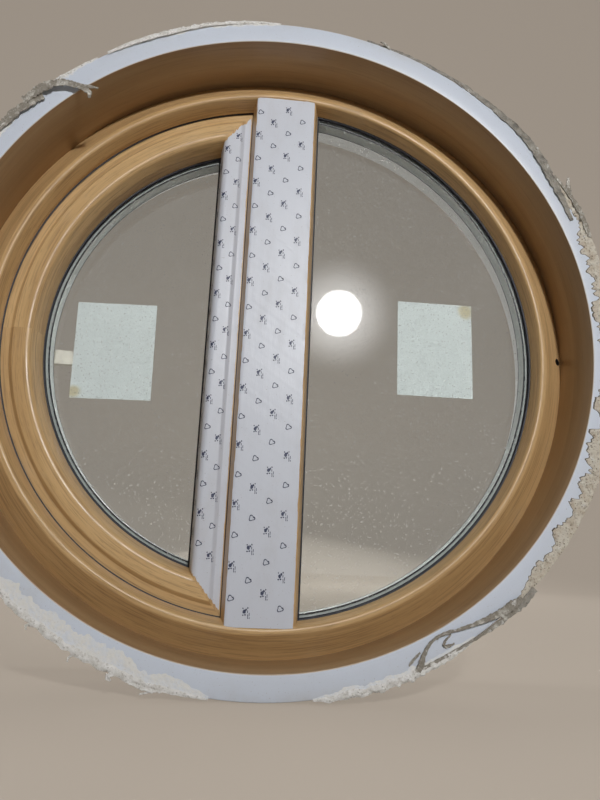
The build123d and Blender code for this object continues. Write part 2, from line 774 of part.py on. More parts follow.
spindle_start = LOCK_FRONT + LOCK_FIT
with BuildPart() as handle_spindle:
    with Locations((HANDLE_X, (spindle_start + socket_end) / 2, 0)):
        Box(SPINDLE, socket_end - spindle_start, SPINDLE)
write(handle_spindle, "handle_spindle")

# Keeper, bent to the rebate wall
keeper_middle = (-REBATE_RADIUS, LOCK_MIDDLE, bolt_z)
with BuildPart() as keeper:
    with Locations(keeper_middle):
        Box(4 * KEEPER_THICK, KEEPER_SIZE[0], KEEPER_SIZE[1])
    with Locations(Location((0, 0, 0), (90, 0, 0))):
        Cylinder(REBATE_RADIUS - KEEPER_FIT, 4 * FRAME_BACK, mode=Mode.INTERSECT)
        Cylinder(REBATE_RADIUS - KEEPER_THICK, 4 * FRAME_BACK, mode=Mode.SUBTRACT)
    with Locations(keeper_middle):
        Box(8 * KEEPER_THICK, keeper_hole, keeper_hole, mode=Mode.SUBTRACT)
write(keeper, "keeper")


def ragged(angle, phase):
    """Uneven wave between about -1 and 1 along the rim, for torn edges."""
    turn = math.radians(angle)
    slow = math.sin(11 * turn + phase)
    quick = math.sin(37 * turn + 2.3 * phase)
    fine = math.sin(83 * turn + 0.7 * phase)
    return (slow + 0.7 * quick + 0.5 * fine) / 2.2


def strip_edges():
    """Both long edges of the torn strip, from its root on the crust to its tip."""
    middles = []
    for angle, inset in STRIP_COURSE:
        turn = math.radians(angle)
        middles.append(Vector(math.cos(turn), math.sin(turn)) * (RIM_RADIUS - inset))
    one_side = []
    other_side = []
    for number, middle in enumerate(middles):
        share = number / (len(middles) - 1)
        half = STRIP_ROOT_HALF + share * (STRIP_TIP_HALF - STRIP_ROOT_HALF)
        along = middles[min(number + 1, len(middles) - 1)] - middles[max(number - 1, 0)]
        across = Vector(-along.Y, along.X).normalized() * half
        one_side.append(middle + across)
        other_side.append(middle - across)
    return one_side, other_side


def crust(name, first, last, reach, skirt, phase, strip=False):
    """Writes a crust over the rim's front edge, with a skirt down its outer wall.

    The angles run up from the right. The reach is how far it lies in over the rim, how far
    it stands out past it, and how deep its edge is torn. The strip lies on its crust and
    hangs in over the reveal.
    """
    inward, outward, tear = reach
    count = max(4, round((last - first) / CRUST_STEP))
    inside = []
    outside = []
    for number in range(count + 1):
        share = number / count
        angle = first + share * (last - first)
        swell = math.sin(math.pi * share) ** 0.5
        turn = math.radians(angle)
        near = RIM_RADIUS - CRUST_EDGE - (inward - CRUST_EDGE) * swell
        near += tear * swell * ragged(angle, phase)
        far = RIM_RADIUS + CRUST_EDGE + (outward - CRUST_EDGE) * swell
        far += tear / 4 * swell * ragged(angle, phase + 1)
        inside.append((near * math.cos(turn), near * math.sin(turn)))
        outside.append((far * math.cos(turn), far * math.sin(turn)))
    middle = math.radians((first + last) / 2)
    hollow = RIM_RADIUS - RIM_WIDTH
    with BuildPart() as piece:
        with BuildSketch(face_plane(-CRUST_OVER)):
            Polygon(*inside, *reversed(outside), align=None)
        extrude(amount=-CRUST_OVER)
        with BuildSketch(face_plane(0)):
            Polygon(
                *outside,
                (hollow * math.cos(math.radians(last)), hollow * math.sin(math.radians(last))),
                (hollow * math.cos(middle) / 2, hollow * math.sin(middle) / 2),
                (hollow * math.cos(math.radians(first)), hollow * math.sin(math.radians(first))),
                align=None,
            )
            Circle(RIM_RADIUS, mode=Mode.SUBTRACT)
        extrude(amount=-skirt)
        if strip:
            one_side, other_side = strip_edges()
            with BuildSketch(face_plane(-CRUST_OVER - STRIP_RISE)):
                Polygon(*one_side, *reversed(other_side), align=None)
            extrude(amount=-STRIP_RISE - STRIP_SEAT)
    write(piece, name)


# Residue, by its angles up from the right
crust("residue_right", -50, 33, CRUST_RIGHT, CRUST_SKIRT, 0.4)
crust("residue_top", 92, 124, CRUST_TOP, CRUST_SKIRT, 1.9)
crust("residue_left", 126, 178, CRUST_LEFT, CRUST_SKIRT, 2.6, strip=True)
crust("residue_bottom_left", -140, -97, CRUST_BOTTOM_LEFT, CRUST_SKIRT, 3.3)
crust("residue_bottom", -82, -56, CRUST_BOTTOM, CRUST_SKIRT / 2, 4.7)
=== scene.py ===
"""Looks of the round window, built round its fixed solids. Metres, same axes as the solids.

+Z is up, -Y faces outdoors and +X is to the right seen from outdoors. The origin is the
centre of the ring on the front plane of its white rim, so Y is depth.
"""

import math
import random

import bpy
import bmesh
from mathutils import Matrix, Vector, noise


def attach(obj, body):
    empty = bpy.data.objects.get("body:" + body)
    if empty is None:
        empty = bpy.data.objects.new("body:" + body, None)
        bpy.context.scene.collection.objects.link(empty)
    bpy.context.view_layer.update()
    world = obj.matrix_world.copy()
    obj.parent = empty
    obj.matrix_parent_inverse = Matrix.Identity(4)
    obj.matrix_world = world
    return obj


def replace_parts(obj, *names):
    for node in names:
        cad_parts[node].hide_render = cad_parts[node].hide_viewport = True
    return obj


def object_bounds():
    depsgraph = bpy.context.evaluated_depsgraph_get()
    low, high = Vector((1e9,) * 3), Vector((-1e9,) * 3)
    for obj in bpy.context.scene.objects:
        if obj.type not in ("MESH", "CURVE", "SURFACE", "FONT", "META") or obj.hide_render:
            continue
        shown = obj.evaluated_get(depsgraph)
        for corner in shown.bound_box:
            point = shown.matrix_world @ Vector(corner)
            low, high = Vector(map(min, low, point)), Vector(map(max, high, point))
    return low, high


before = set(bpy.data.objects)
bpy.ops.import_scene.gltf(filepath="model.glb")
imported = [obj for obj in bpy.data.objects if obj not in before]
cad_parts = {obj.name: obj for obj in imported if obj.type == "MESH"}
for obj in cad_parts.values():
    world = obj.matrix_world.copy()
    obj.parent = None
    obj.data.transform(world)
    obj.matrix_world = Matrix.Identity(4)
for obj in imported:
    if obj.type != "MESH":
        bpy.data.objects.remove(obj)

bl_info = {
    "name": "Round window",
    "version": (1, 0, 0),
    "blender": (4, 5, 0),
    "location": "3D View > Sidebar > Window",
    "description": "Foil, film, glass, seals and old plaster of a round window",
    "category": "Object",
}

CAD_LOW, CAD_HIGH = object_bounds()
MM = 0.001

# Profile sizes and places in millimetres, the same as the solids
RIM = 375.0
REVEAL = 350.0
REVEAL_DEPTH = 77.0
LIP = 311.0
LIP_BACK = 73.0
CROWN = 315.8
REBATE = 335.0
FRAME_BACK = 137.0
DRAIN = 345.0
KEEPER_POCKET = ((-344.0, 113.0, -19.75), (-326.0, 123.0, -9.75))
MULLION_HALF = 41.0
MULLION_FACE = 55.0
SEAL = 314.5
SEAL_HALF = 37.5
SASH = 323.0
SASH_HALF = 29.0
SASH_FACE = 79.5
SASH_BACK = 157.0
SASH_FLANGE = 20.0
FLANGE_FRONT = 141.0
LOCK_POCKET = ((-324.5, 111.0, -29.0), (-293.1, 125.0, 29.0))
HANDLE_X = -309.5
SPINDLE_BORE = 12.0
SASH_LIP_WIDTH = 51.4
SASH_LIP_BACK = 107.0
SASH_REBATE = 291.6
SASH_REBATE_HALF = 60.4
SASH_REBATE_WIDTH = 20.0
FIXED_REBATE_HALF = 17.0
FIXED_REBATE_WIDTH = 24.0
FIXED_GLASS = 76.0
SASH_GLASS = 110.0
UNIT = 24.0
PANE = 4.0
CAVITY = 16.0
GASKET_LIP = 5.6
HINGE_HEIGHT = 190
SCREW_HEAD = 3.4

# Heights at which the films end: on the mullion, and at the stile's mitre with its slope
MULLION_END = 315.3
MITRE = 308.3
MITRE_SLOPE = 1.241

# Step along a torn crust, and the rim's length for one degree
CRUMB = 1.3
RIM_DEGREE = 6.54

# Facets of a small disc, and the angle in degrees from which an edge looks sharp
DISC_FACETS = 28
SHARP = 35.0

# Radius in metres at which the grain round the ring has its size
GRAIN_RADIUS = 0.33

# Glue stains on the labels: place across, height and size in metres
GLUE_SPOTS = ((-0.238, -0.058, 0.011), (0.240, 0.066, 0.013))

# Patches and dashes of one printed blot: place across and up, width and height
BLOT_PATCHES = (
    (-2.0, 1.0, 1.6, 2.3), (-0.2, 2.9, 1.0, 1.3), (-3.2, -2.6, 0.9, 0.8),
    (-0.9, -2.2, 0.9, 0.8), (1.6, 4.6, 0.7, 0.9), (-3.4, 4.2, 0.7, 0.7),
)
BLOT_DASHES = (
    (1.5, -0.4, 2.6), (1.7, -3.3, 1.7), (1.9, -6.2, 3.0), (3.3, -3.4, 3.4), (3.5, -6.2, 1.8),
)

# Camera before it is stood upright, with its turns about x, y and z in degrees
CAMERA_PLACE = (-0.033, -0.231, 0.645)
CAMERA_TURN = (12.79, -5.03, -0.21)
CAMERA_LEAN = 2.6

# Strength of the even light
EVEN_LIGHT = 0.022


# Shader maths


class Value:
    """A number or colour that varies over a surface, used in plain expressions."""

    def __init__(self, finish, socket):
        self.finish = finish
        self.socket = socket

    def __add__(self, other):
        return self.finish.maths("ADD", self, other)

    def __radd__(self, other):
        return self.finish.maths("ADD", other, self)

    def __sub__(self, other):
        return self.finish.maths("SUBTRACT", self, other)

    def __rsub__(self, other):
        return self.finish.maths("SUBTRACT", other, self)

    def __mul__(self, other):
        return self.finish.maths("MULTIPLY", self, other)

    def __rmul__(self, other):
        return self.finish.maths("MULTIPLY", other, self)

    def __gt__(self, other):
        return self.finish.maths("GREATER_THAN", self, other)

    def __lt__(self, other):
        return self.finish.maths("LESS_THAN", self, other)


class Finish:
    """A new material in the making, or the nodes of a lamp or the world."""

    def __init__(self, name, tree=None):
        if tree is None:
            self.material = bpy.data.materials.new(name)
            self.material.use_nodes = True
            tree = self.material.node_tree
            tree.nodes.clear()
        self.tree = tree
        self.axes = None

    def node(self, kind, settings=None, inputs=None):
        """Adds a node, sets it up, then fills or links its sockets."""
        made = self.tree.nodes.new(kind)
        for key, value in (settings or {}).items():
            setattr(made, key, value)
        for key, value in (inputs or {}).items():
            if isinstance(value, Value):
                self.tree.links.new(value.socket, made.inputs[key])
            else:
                made.inputs[key].default_value = value
        return made

    def value(self, made, output=0):
        return Value(self, made.outputs[output])

    def maths(self, operation, *terms):
        """One Math node on values and plain numbers."""
        made = self.node("ShaderNodeMath", {"operation": operation}, dict(enumerate(terms)))
        return self.value(made)

    def clamp(self, value):
        return self.value(self.node("ShaderNodeClamp", None, {"Value": value}))

    def fade(self, value, low, high):
        """0 below low, 1 above high, and a smooth climb between them."""
        inputs = {"Value": value, "From Min": low, "From Max": high}
        made = self.node("ShaderNodeMapRange", {"interpolation_type": "SMOOTHSTEP"}, inputs)
        return self.value(made)

    def vector(self, parts):
        return self.value(self.node("ShaderNodeCombineXYZ", None, dict(enumerate(parts))))

    def place(self):
        """The point on the surface as x, y and z, in metres in the window's own axes."""
        if self.axes is None:
            where = self.value(self.node("ShaderNodeTexCoord"), "Object")
            split = self.node("ShaderNodeSeparateXYZ", None, {0: where})
            self.axes = tuple(self.value(split, axis) for axis in range(3))
        return self.axes

    def ring(self):
        """Angle about the ring's axis times a typical radius, the radius, and the depth."""
        x, y, z = self.place()
        radius = self.maths("SQRT", x * x + z * z)
        return self.maths("ARCTAN2", z, x) * GRAIN_RADIUS, radius, y

    def cloud(self, scale, detail=3, rough=0.5, along=None):
        """Cloudy noise between 0 and 1. Three scales, one for each axis, stretch it."""
        axes = along or self.place()
        if isinstance(scale, tuple):
            axes = [part * size for part, size in zip(axes, scale)]
            scale = 1.0
        inputs = {"Vector": self.vector(axes), "Scale": scale, "Detail": detail, "Roughness": rough}
        return self.value(self.node("ShaderNodeTexNoise", None, inputs))

    def pits(self, scale):
        """Distance to the nearest of many scattered points."""
        inputs = {"Vector": self.vector(self.place()), "Scale": scale}
        return self.value(self.node("ShaderNodeTexVoronoi", None, inputs))

    def mix(self, share, first, second):
        """Colour between first and second."""
        tones = [tone if isinstance(tone, Value) else (*tone, 1.0) for tone in (first, second)]
        inputs = {0: share, 6: tones[0], 7: tones[1]}
        return self.value(self.node("ShaderNodeMix", {"data_type": "RGBA"}, inputs), 2)

    def layers(self, colour, *stains):
        """Lays stains and painted shade on a colour, each with its pattern, start, full cover,
        share and tone.
        """
        for pattern, start, full, share, tone in stains:
            colour = self.mix(self.fade(pattern, start, full) * share, colour, tone)
        return colour

    def bump(self, height, strength, distance):
        inputs = {"Height": height, "Strength": strength, "Distance": distance}
        return self.value(self.node("ShaderNodeBump", None, inputs))

    def shader(self, colour, **sockets):
        """A principled surface. Socket names are written with underscores."""
        inputs = {"Base Color": colour if isinstance(colour, Value) else (*colour, 1.0)}
        for key, value in sockets.items():
            inputs[key.replace("_", " ")] = value
        return self.node("ShaderNodeBsdfPrincipled", None, inputs)

    def done(self, shader):
        self.node("ShaderNodeOutputMaterial", None, {"Surface": self.value(shader)})
        return self.material

    def surface(self, colour, **sockets):
        """Ends the material with one principled surface."""
        return self.done(self.shader(colour, **sockets))

    def blended(self, share, first, second):
        """Ends the material with two shaders, the second by its share."""
        inputs = {0: share, 1: self.value(first), 2: self.value(second)}
        return self.done(self.node("ShaderNodeMixShader", None, inputs))


# Sizes and colours that a user would change


def tint(name, description, default):
    return bpy.props.FloatVectorProperty(
        name=name, description=description, default=default, subtype="COLOR", size=3,
        min=0.0, max=1.0,
    )


class WindowFinishes(bpy.types.PropertyGroup):
    """Colours of the window's materials, as linear values."""

    rim: tint("Rim", "White profile of the ring", (0.62, 0.67, 0.76))
    inside: tint("Room side", "White of the room side", (0.76, 0.77, 0.78))
    oak_light: tint("Light oak", "Lightest tone of the foil", (0.63, 0.425, 0.205))
    oak_mid: tint("Mid oak", "Middle tone of the foil", (0.50, 0.315, 0.140))
    oak_dark: tint("Dark oak", "Pores and dark streaks of the foil", (0.23, 0.128, 0.055))
    film: tint("Film", "Protective film", (0.60, 0.63, 0.70))
    print_ink: tint("Print", "Marks on the film", (0.035, 0.045, 0.10))
    glass: tint("Glass", "Tint of the panes", (0.980, 0.990, 0.985))
    spacer: tint("Spacer", "Bar between the panes", (0.46, 0.49, 0.47))
    rubber: tint("Rubber", "Gaskets and seals", (0.012, 0.014, 0.022))
    paper: tint("Label", "Back of the labels", (0.80, 0.825, 0.82))
    plaster: tint("Plaster", "Old plaster round the rim", (0.50, 0.43, 0.34))
    zinc: tint("Zinc", "Plated steel", (0.55, 0.55, 0.52))
    champagne: tint("Hardware", "Satin lacquer of the hinges and handle", (0.60, 0.565, 0.49))
    stage: tint("Stage", "Floor and backdrop", (0.44, 0.39, 0.33))


class WindowSizes(bpy.types.PropertyGroup):
    """Sizes of what is added to the solids."""

    turns: bpy.props.IntProperty(
        name="Facets round", description="Facets round a full ring", default=288, min=48
    )
    film_rise: bpy.props.FloatProperty(
        name="Film rise", description="Height of the film over the foil",
        default=0.00025, unit="LENGTH", min=0.00005,
    )
    mark_pitch: bpy.props.FloatProperty(
        name="Mark pitch", description="Distance between like marks on the film",
        default=0.0645, unit="LENGTH", min=0.01,
    )
    camera_lens: bpy.props.FloatProperty(
        name="Lens", description="Focal length of the camera in millimetres",
        default=28.8, min=5.0,
    )
    key_power: bpy.props.FloatProperty(
        name="Key light", description="Power of the main lamp", default=40.0, unit="POWER"
    )


def finishes():
    return bpy.context.scene.window_finishes


def sizes():
    return bpy.context.scene.window_sizes


# Mesh helpers


def keep(name, vertices, faces, body=None, slot=None, materials=(), indices=None, angle=SHARP):
    """Makes an object, smooth but for its sharp edges, and lets it ride on its body."""
    mesh = bpy.data.meshes.new(name)
    mesh.from_pydata(vertices, [], faces)
    for finish in materials:
        mesh.materials.append(finish_named(finish))
    if indices is not None:
        mesh.polygons.foreach_set("material_index", indices)
    mesh.validate()
    solid = bmesh.new()
    solid.from_mesh(mesh)
    bmesh.ops.recalc_face_normals(solid, faces=solid.faces)
    solid.to_mesh(mesh)
    solid.free()
    mesh.polygons.foreach_set("use_smooth", [True] * len(mesh.polygons))
    mesh.set_sharp_from_angle(angle=math.radians(angle))
    piece = bpy.data.objects.new(name, mesh)
    bpy.context.scene.collection.objects.link(piece)
    if body:
        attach(piece, body)
    return piece


def rounded(corners, steps=5):
    """Closed outline whose corners (a, b, radius) are eased by arcs."""
    outline = []
    count = len(corners)
    for index, (a, b, radius) in enumerate(corners):
        here = Vector((a, b))
        before = Vector(corners[index - 1][:2]) - here
        after = Vector(corners[(index + 1) % count][:2]) - here
        if radius <= 0:
            outline.append((a, b))
            continue
        half = before.angle(after) / 2
        run = min(radius / math.tan(half), before.length * 0.49, after.length * 0.49)
        radius = run * math.tan(half)
        centre = here + (before.normalized() + after.normalized()).normalized() * (
            radius / math.sin(half)
        )
        start = here + before.normalized() * run - centre
        end = here + after.normalized() * run - centre
        turn = start.angle_signed(end)
        for step in range(steps + 1):
            arm = start.copy()
            arm.rotate(Matrix.Rotation(-turn * step / steps, 2))
            outline.append(tuple(centre + arm))
    return outline


def loft(loops, closed_loop=True, closed_profile=True):
    """Quads between rows of points. Each row is one profile point's path."""
    rows, length = len(loops), len(loops[0])
    vertices = [point for loop in loops for point in loop]
    faces = []
    for row in range(rows if closed_profile else rows - 1):
        after = (row + 1) % rows
        for step in range(length if closed_loop else length - 1):
            beyond = (step + 1) % length
            near, far = row * length, after * length
            faces.append((near + step, near + beyond, far + beyond, far + step))
    return vertices, faces


def end_caps(length, rows):
    """Faces that close both ends of a lofted run."""
    starts = [row * length for row in range(rows)]
    return [starts, [start + length - 1 for start in reversed(starts)]]


def full_circle(facets):
    """Angles of a circle's points."""
    return [2 * math.pi * step / facets for step in range(facets)]


def around(radius, depth, turn):
    """Point at a radius and an angle about the ring's axis."""
    return radius * math.cos(turn), depth, radius * math.sin(turn)


def spin(name, outline, body, slot, materials, **more):
    """Ring with a closed (radius, depth) outline in millimetres."""
    turns = full_circle(sizes().turns)
    loops = [
        [around(radius * MM, depth * MM, turn) for turn in turns] for radius, depth in outline
    ]
    vertices, faces = loft(loops)
    return keep(name, vertices, faces, body, slot, materials, **more)


def mitre_of(radius, half, width):
    """Reach, chord and half the angle of a half-moon this width inside its outer edge."""
    reach = radius - width
    chord = half + width
    return reach, chord, math.acos(chord / reach)


def moon_loop(radius, half, side, width, arc_steps, bar_steps):
    """Closed half-moon path that lies this width inside a profile's outer edge."""
    reach, chord, corner = mitre_of(radius, half, width)
    path = []
    for step in range(arc_steps):
        turn = -corner + 2 * corner * step / arc_steps
        path.append((side * reach * math.cos(turn), reach * math.sin(turn)))
    top = reach * math.sin(corner)
    for step in range(bar_steps):
        path.append((side * chord, top - 2 * top * step / bar_steps))
    return path


def moon(name, outline, radius, half, side, body, slot, materials, split=False, **more):
    """Half-moon frame with a closed (width, depth) outline in millimetres.

    With split, the straight run takes the second material.
    """
    arc_steps = sizes().turns // 2
    bar_steps = 24
    loops = []
    for width, depth in outline:
        path = moon_loop(radius, half, side, width, arc_steps, bar_steps)
        loops.append([(x * MM, depth * MM, z * MM) for x, z in path])
    vertices, faces = loft(loops)
    indices = None
    if split:
        length = arc_steps + bar_steps
        indices = [1 if number % length >= arc_steps else 0 for number in range(len(faces))]
    return keep(name, vertices, faces, body, slot, materials, indices, **more)


def cut_out(piece, vertices, faces, lining, lined):
    """Takes a closed shape away from a piece and gives the walls of the cut a finish."""
    cutter = keep("cutter", vertices, faces)
    cut = piece.modifiers.new("cut", "BOOLEAN")
    cut.operation = "DIFFERENCE"
    cut.solver = "EXACT"
    cut.object = cutter
    graph = bpy.context.evaluated_depsgraph_get()
    mesh = bpy.data.meshes.new_from_object(piece.evaluated_get(graph))
    piece.modifiers.remove(cut)
    piece.data = mesh
    bpy.data.objects.remove(cutter)
    mesh.materials.append(finish_named(lining))
    for face in mesh.polygons:
        corners = [mesh.vertices[number].co / MM for number in face.vertices]
        if lined(corners, face):
            face.material_index = len(mesh.materials) - 1
    mesh.set_sharp_from_angle(angle=math.radians(SHARP))


def drill(piece, place, radius, depth, lining):
    """Cuts a round hole along the depth axis."""
    middle = 0.01
    rings = [(middle, -20.0), (radius, -20.0), (radius, depth), (middle, depth)]
    vertices, faces = loft(disc_loops(place, rings), closed_profile=False)

    def lined(corners, face):
        away = max(math.hypot(corner.x - place[0], corner.z - place[2]) for corner in corners)
        return away < radius * 1.01 and (abs(face.normal.y) < 0.5 or face.center.y > 0.09)

    cut_out(piece, vertices, faces, lining, lined)


def pocket(piece, low, high, lining):
    """Cuts a squared pocket between two opposite corners in millimetres."""
    edge = 0.02
    vertices = [
        (x * MM, y * MM, z * MM)
        for x in (low[0], high[0]) for y in (low[1], high[1]) for z in (low[2], high[2])
    ]
    faces = [(0, 1, 3, 2), (4, 6, 7, 5), (0, 4, 5, 1), (2, 3, 7, 6), (0, 2, 6, 4), (1, 5, 7, 3)]

    def lined(corners, face):
        return all(
            low[axis] - edge < corner[axis] < high[axis] + edge
            for corner in corners for axis in range(3)
        )

    cut_out(piece, vertices, faces, lining, lined)


def dress(finish, *nodes):
    """Gives solids that stay shown their finish."""
    for node in nodes:
        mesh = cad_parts[node].data
        mesh.materials.clear()
        mesh.materials.append(finish_named(finish))
        mesh.polygons.foreach_set("material_index", [0] * len(mesh.polygons))


def ragged(seed, at, scale):
    """Repeatable wave about zero, mostly between -1 and 1."""
    return noise.fractal(Vector((at * scale, seed * 7.31, seed * 1.7)), 0.6, 2.1, 4) * 1.6


def roughness_at(point, scale, seed):
    """Repeatable crumbly noise in space, mostly between -1 and 1."""
    return noise.fractal(Vector(point) * scale + Vector((seed, 0, 0)), 0.7, 2.1, 5) * 1.5


def slab(name, grid, thick, body, slot, materials, **more):
    """Closed sheet of even thickness under a grid of points."""
    rows, columns = len(grid), len(grid[0])

    def at(row, column):
        return Vector(grid[min(max(row, 0), rows - 1)][min(max(column, 0), columns - 1)])

    tops = [Vector(point) for line in grid for point in line]
    backs = []
    for row in range(rows):
        for column in range(columns):
            along = at(row + 1, column) - at(row - 1, column)
            across = at(row, column + 1) - at(row, column - 1)
            normal = across.cross(along).normalized()
            if normal.y > 0:
                normal = -normal
            backs.append(tops[row * columns + column] - normal * thick)
    count = rows * columns
    faces = []
    for row in range(rows - 1):
        for column in range(columns - 1):
            here = row * columns + column
            square = (here, here + 1, here + columns + 1, here + columns)
            faces.append(square)
            faces.append(tuple(count + number for number in reversed(square)))
    rim = list(range(columns))
    rim += [row * columns + columns - 1 for row in range(1, rows)]
    rim += [(rows - 1) * columns + column for column in range(columns - 2, -1, -1)]
    rim += [row * columns for row in range(rows - 2, 0, -1)]
    for number, here in enumerate(rim):
        beyond = rim[(number + 1) % len(rim)]
        faces.append((here, beyond, count + beyond, count + here))
    return keep(name, tops + backs, faces, body, slot, materials, **more)


def hold_inside(piece):
    """Keeps a torn piece inside the solids' overall box."""
    for vertex in piece.data.vertices:
        for axis in range(3):
            vertex.co[axis] = min(max(vertex.co[axis], CAD_LOW[axis]), CAD_HIGH[axis])
    return piece


def half_moon(name, outline, radius, half, side, part, body, slot, materials, **more):
    """The arc or the bar of a half-moon frame, cut off at its two mitres."""
    steps = sizes().turns // 2 if part == "arc" else 2
    loops = []
    for width, depth in outline:
        reach, chord, corner = mitre_of(radius, half, width)
        loop = []
        for step in range(steps + 1):
            share = 2 * step / steps - 1
            if part == "arc":
                spot = (side * reach * math.cos(corner * share), reach * math.sin(corner * share))
            else:
                spot = (side * chord, reach * math.sin(corner) * share)
            loop.append((spot[0] * MM, depth * MM, spot[1] * MM))
        loops.append(loop)
    vertices, faces = loft(loops, closed_loop=False)
    faces += end_caps(steps + 1, len(loops))
    return keep(name, vertices, faces, body, slot, materials, **more)


def disc_loops(place, rings):
    """Rings of points round the depth axis, from (radius, depth) pairs in millimetres."""
    turn = Vector((0, 1, 0)).to_track_quat("Z", "Y")
    loops = []
    for radius, run in rings:
        loop = []
        for angle in full_circle(DISC_FACETS):
            local = Vector((radius * math.cos(angle), radius * math.sin(angle), run)) * MM
            loop.append(tuple(Vector(place) * MM + turn @ local))
        loops.append(loop)
    return loops


def screws(name, places, body):
    """Countersunk screw heads with a cross recess, as one piece."""
    vertices, faces = [], []
    radius = SCREW_HEAD
    cross = radius * 0.5
    rings = [
        (radius, -0.3), (radius, 0.25), (radius * 0.86, 0.55), (cross, 0.62),
        (cross * 0.8, 0.1), (0.2, -0.1),
    ]
    for place in places:
        made, sides = loft(disc_loops(place, rings), closed_profile=False)
        base = len(vertices)
        for number, spot in enumerate(made):
            ring, step = divmod(number, DISC_FACETS)
            if ring == 3:
                wave = 0.55 + 0.45 * abs(math.cos(4 * math.pi * step / DISC_FACETS)) ** 3
                middle = Vector(place) * MM
                spot = tuple(middle + (Vector(spot) - middle) * wave)
            vertices.append(spot)
        faces += [tuple(base + number for number in side) for side in sides]
    return keep(name, vertices, faces, body, "zinc_steel", ["zinc plated steel"])


class Course:
    """A line across a bar's face, measured along itself from its first point."""

    def __init__(self, points):
        self.points = [Vector(point) for point in points]
        self.runs = [0.0]
        for near, far in zip(self.points, self.points[1:]):
            self.runs.append(self.runs[-1] + (far - near).length)
        self.length = self.runs[-1]

    def at(self, run, rise=0.0):
        """Point in millimetres across and deep, lifted off the face."""
        run = min(max(run, 0.0), self.length - 1e-6)
        number = max(index for index, start in enumerate(self.runs) if start <= run)
        number = min(number, len(self.points) - 2)
        near, far = self.points[number], self.points[number + 1]
        share = (run - self.runs[number]) / (self.runs[number + 1] - self.runs[number])

        def facing(index):
            before = self.points[max(index - 1, 0)]
            after = self.points[min(index + 1, len(self.points) - 1)]
            way = (after - before).normalized()
            return Vector((way.y, -way.x))

        out = facing(number).lerp(facing(number + 1), share).normalized()
        return near.lerp(far, share) + out * rise


def sash_outline():
    """Section of the opening half, as width in from its outer edge and depth."""
    corners = [
        (0, SASH_FACE, 0.8), (21.6, SASH_FACE, 1.6), (26.0, 75.1, 2.5), (45.6, 74.4, 6.8),
        (49.8, 92.0, 12.0), (SASH_LIP_WIDTH, SASH_LIP_BACK, 0.5), (31.4, SASH_LIP_BACK, 0.5),
        (31.4, SASH_BACK, 1.0), (-SASH_FLANGE, SASH_BACK, 2.5),
        (-SASH_FLANGE, FLANGE_FRONT, 1.0), (0, FLANGE_FRONT, 0.6),
    ]
    return rounded(corners, 6)


def sash_course():
    """The film's line over strip, step and crown of the straight stile, from the pane side."""
    points = []
    for width, depth in sash_outline():
        if 14.5 < width < 50.2 and depth < 100:
            points.append((-SASH_HALF - width, depth))
    points.append((-SASH_HALF - 14.3, SASH_FACE))
    points.sort()
    filled = []
    longest = 1.2
    for near, far in zip(points, points[1:]):
        pieces = max(1, round((far[0] - near[0]) / longest))
        for step in range(pieces):
            filled.append(tuple(Vector(near).lerp(Vector(far), step / pieces)))
    filled.append(points[-1])
    return Course(filled)


def mullion_course():
    """The film's line over the mullion's face and round both its edges."""
    left = [(-36.4, 55.55), (-35.4, 55.12), (-34.2, MULLION_FACE)]
    flat = [(x, MULLION_FACE) for x in range(-32, 33, 2)]
    return Course(left + flat + [(34.2, MULLION_FACE), (35.2, 55.05)])


# Finishes


def oak(name, bar=False):
    """Golden oak foil, with the grain round the ring or along a bar."""
    tone = finishes()
    made = Finish(name)
    if bar:
        across, deep, run = made.place()
    else:
        run, across, deep = made.ring()
    axes = (run, across, deep)
    bands = made.cloud((2.4, 55, 55), along=axes)
    streaks = made.cloud((14, 360, 360), 4, 0.6, axes)
    lines = made.cloud((15, 560, 560), 2, along=axes)
    pores = made.cloud((60, 1500, 1500), 2, along=axes)
    dusty = made.cloud((14, 14, 14), 5, 0.7, axes)
    wood = made.layers(
        tone.oak_light,
        (bands, 0.35, 0.68, 0.7, tone.oak_mid),
        (streaks, 0.48, 0.72, 0.36, tone.oak_dark),
        (lines, 0.52, 0.66, 0.38, tone.oak_dark),
        (pores, 0.60, 0.72, 0.50, tone.oak_dark),
        (dusty, 0.55, 0.85, 0.25, (0.50, 0.44, 0.36)),
    )
    normal = made.bump(streaks * 0.5 + lines * 0.5, 0.22, 0.0004)
    shine = 0.30 + made.fade(dusty, 0.4, 0.8) * 0.24
    return made.surface(wood, Roughness=shine, Normal=normal, Specular_IOR_Level=0.5)


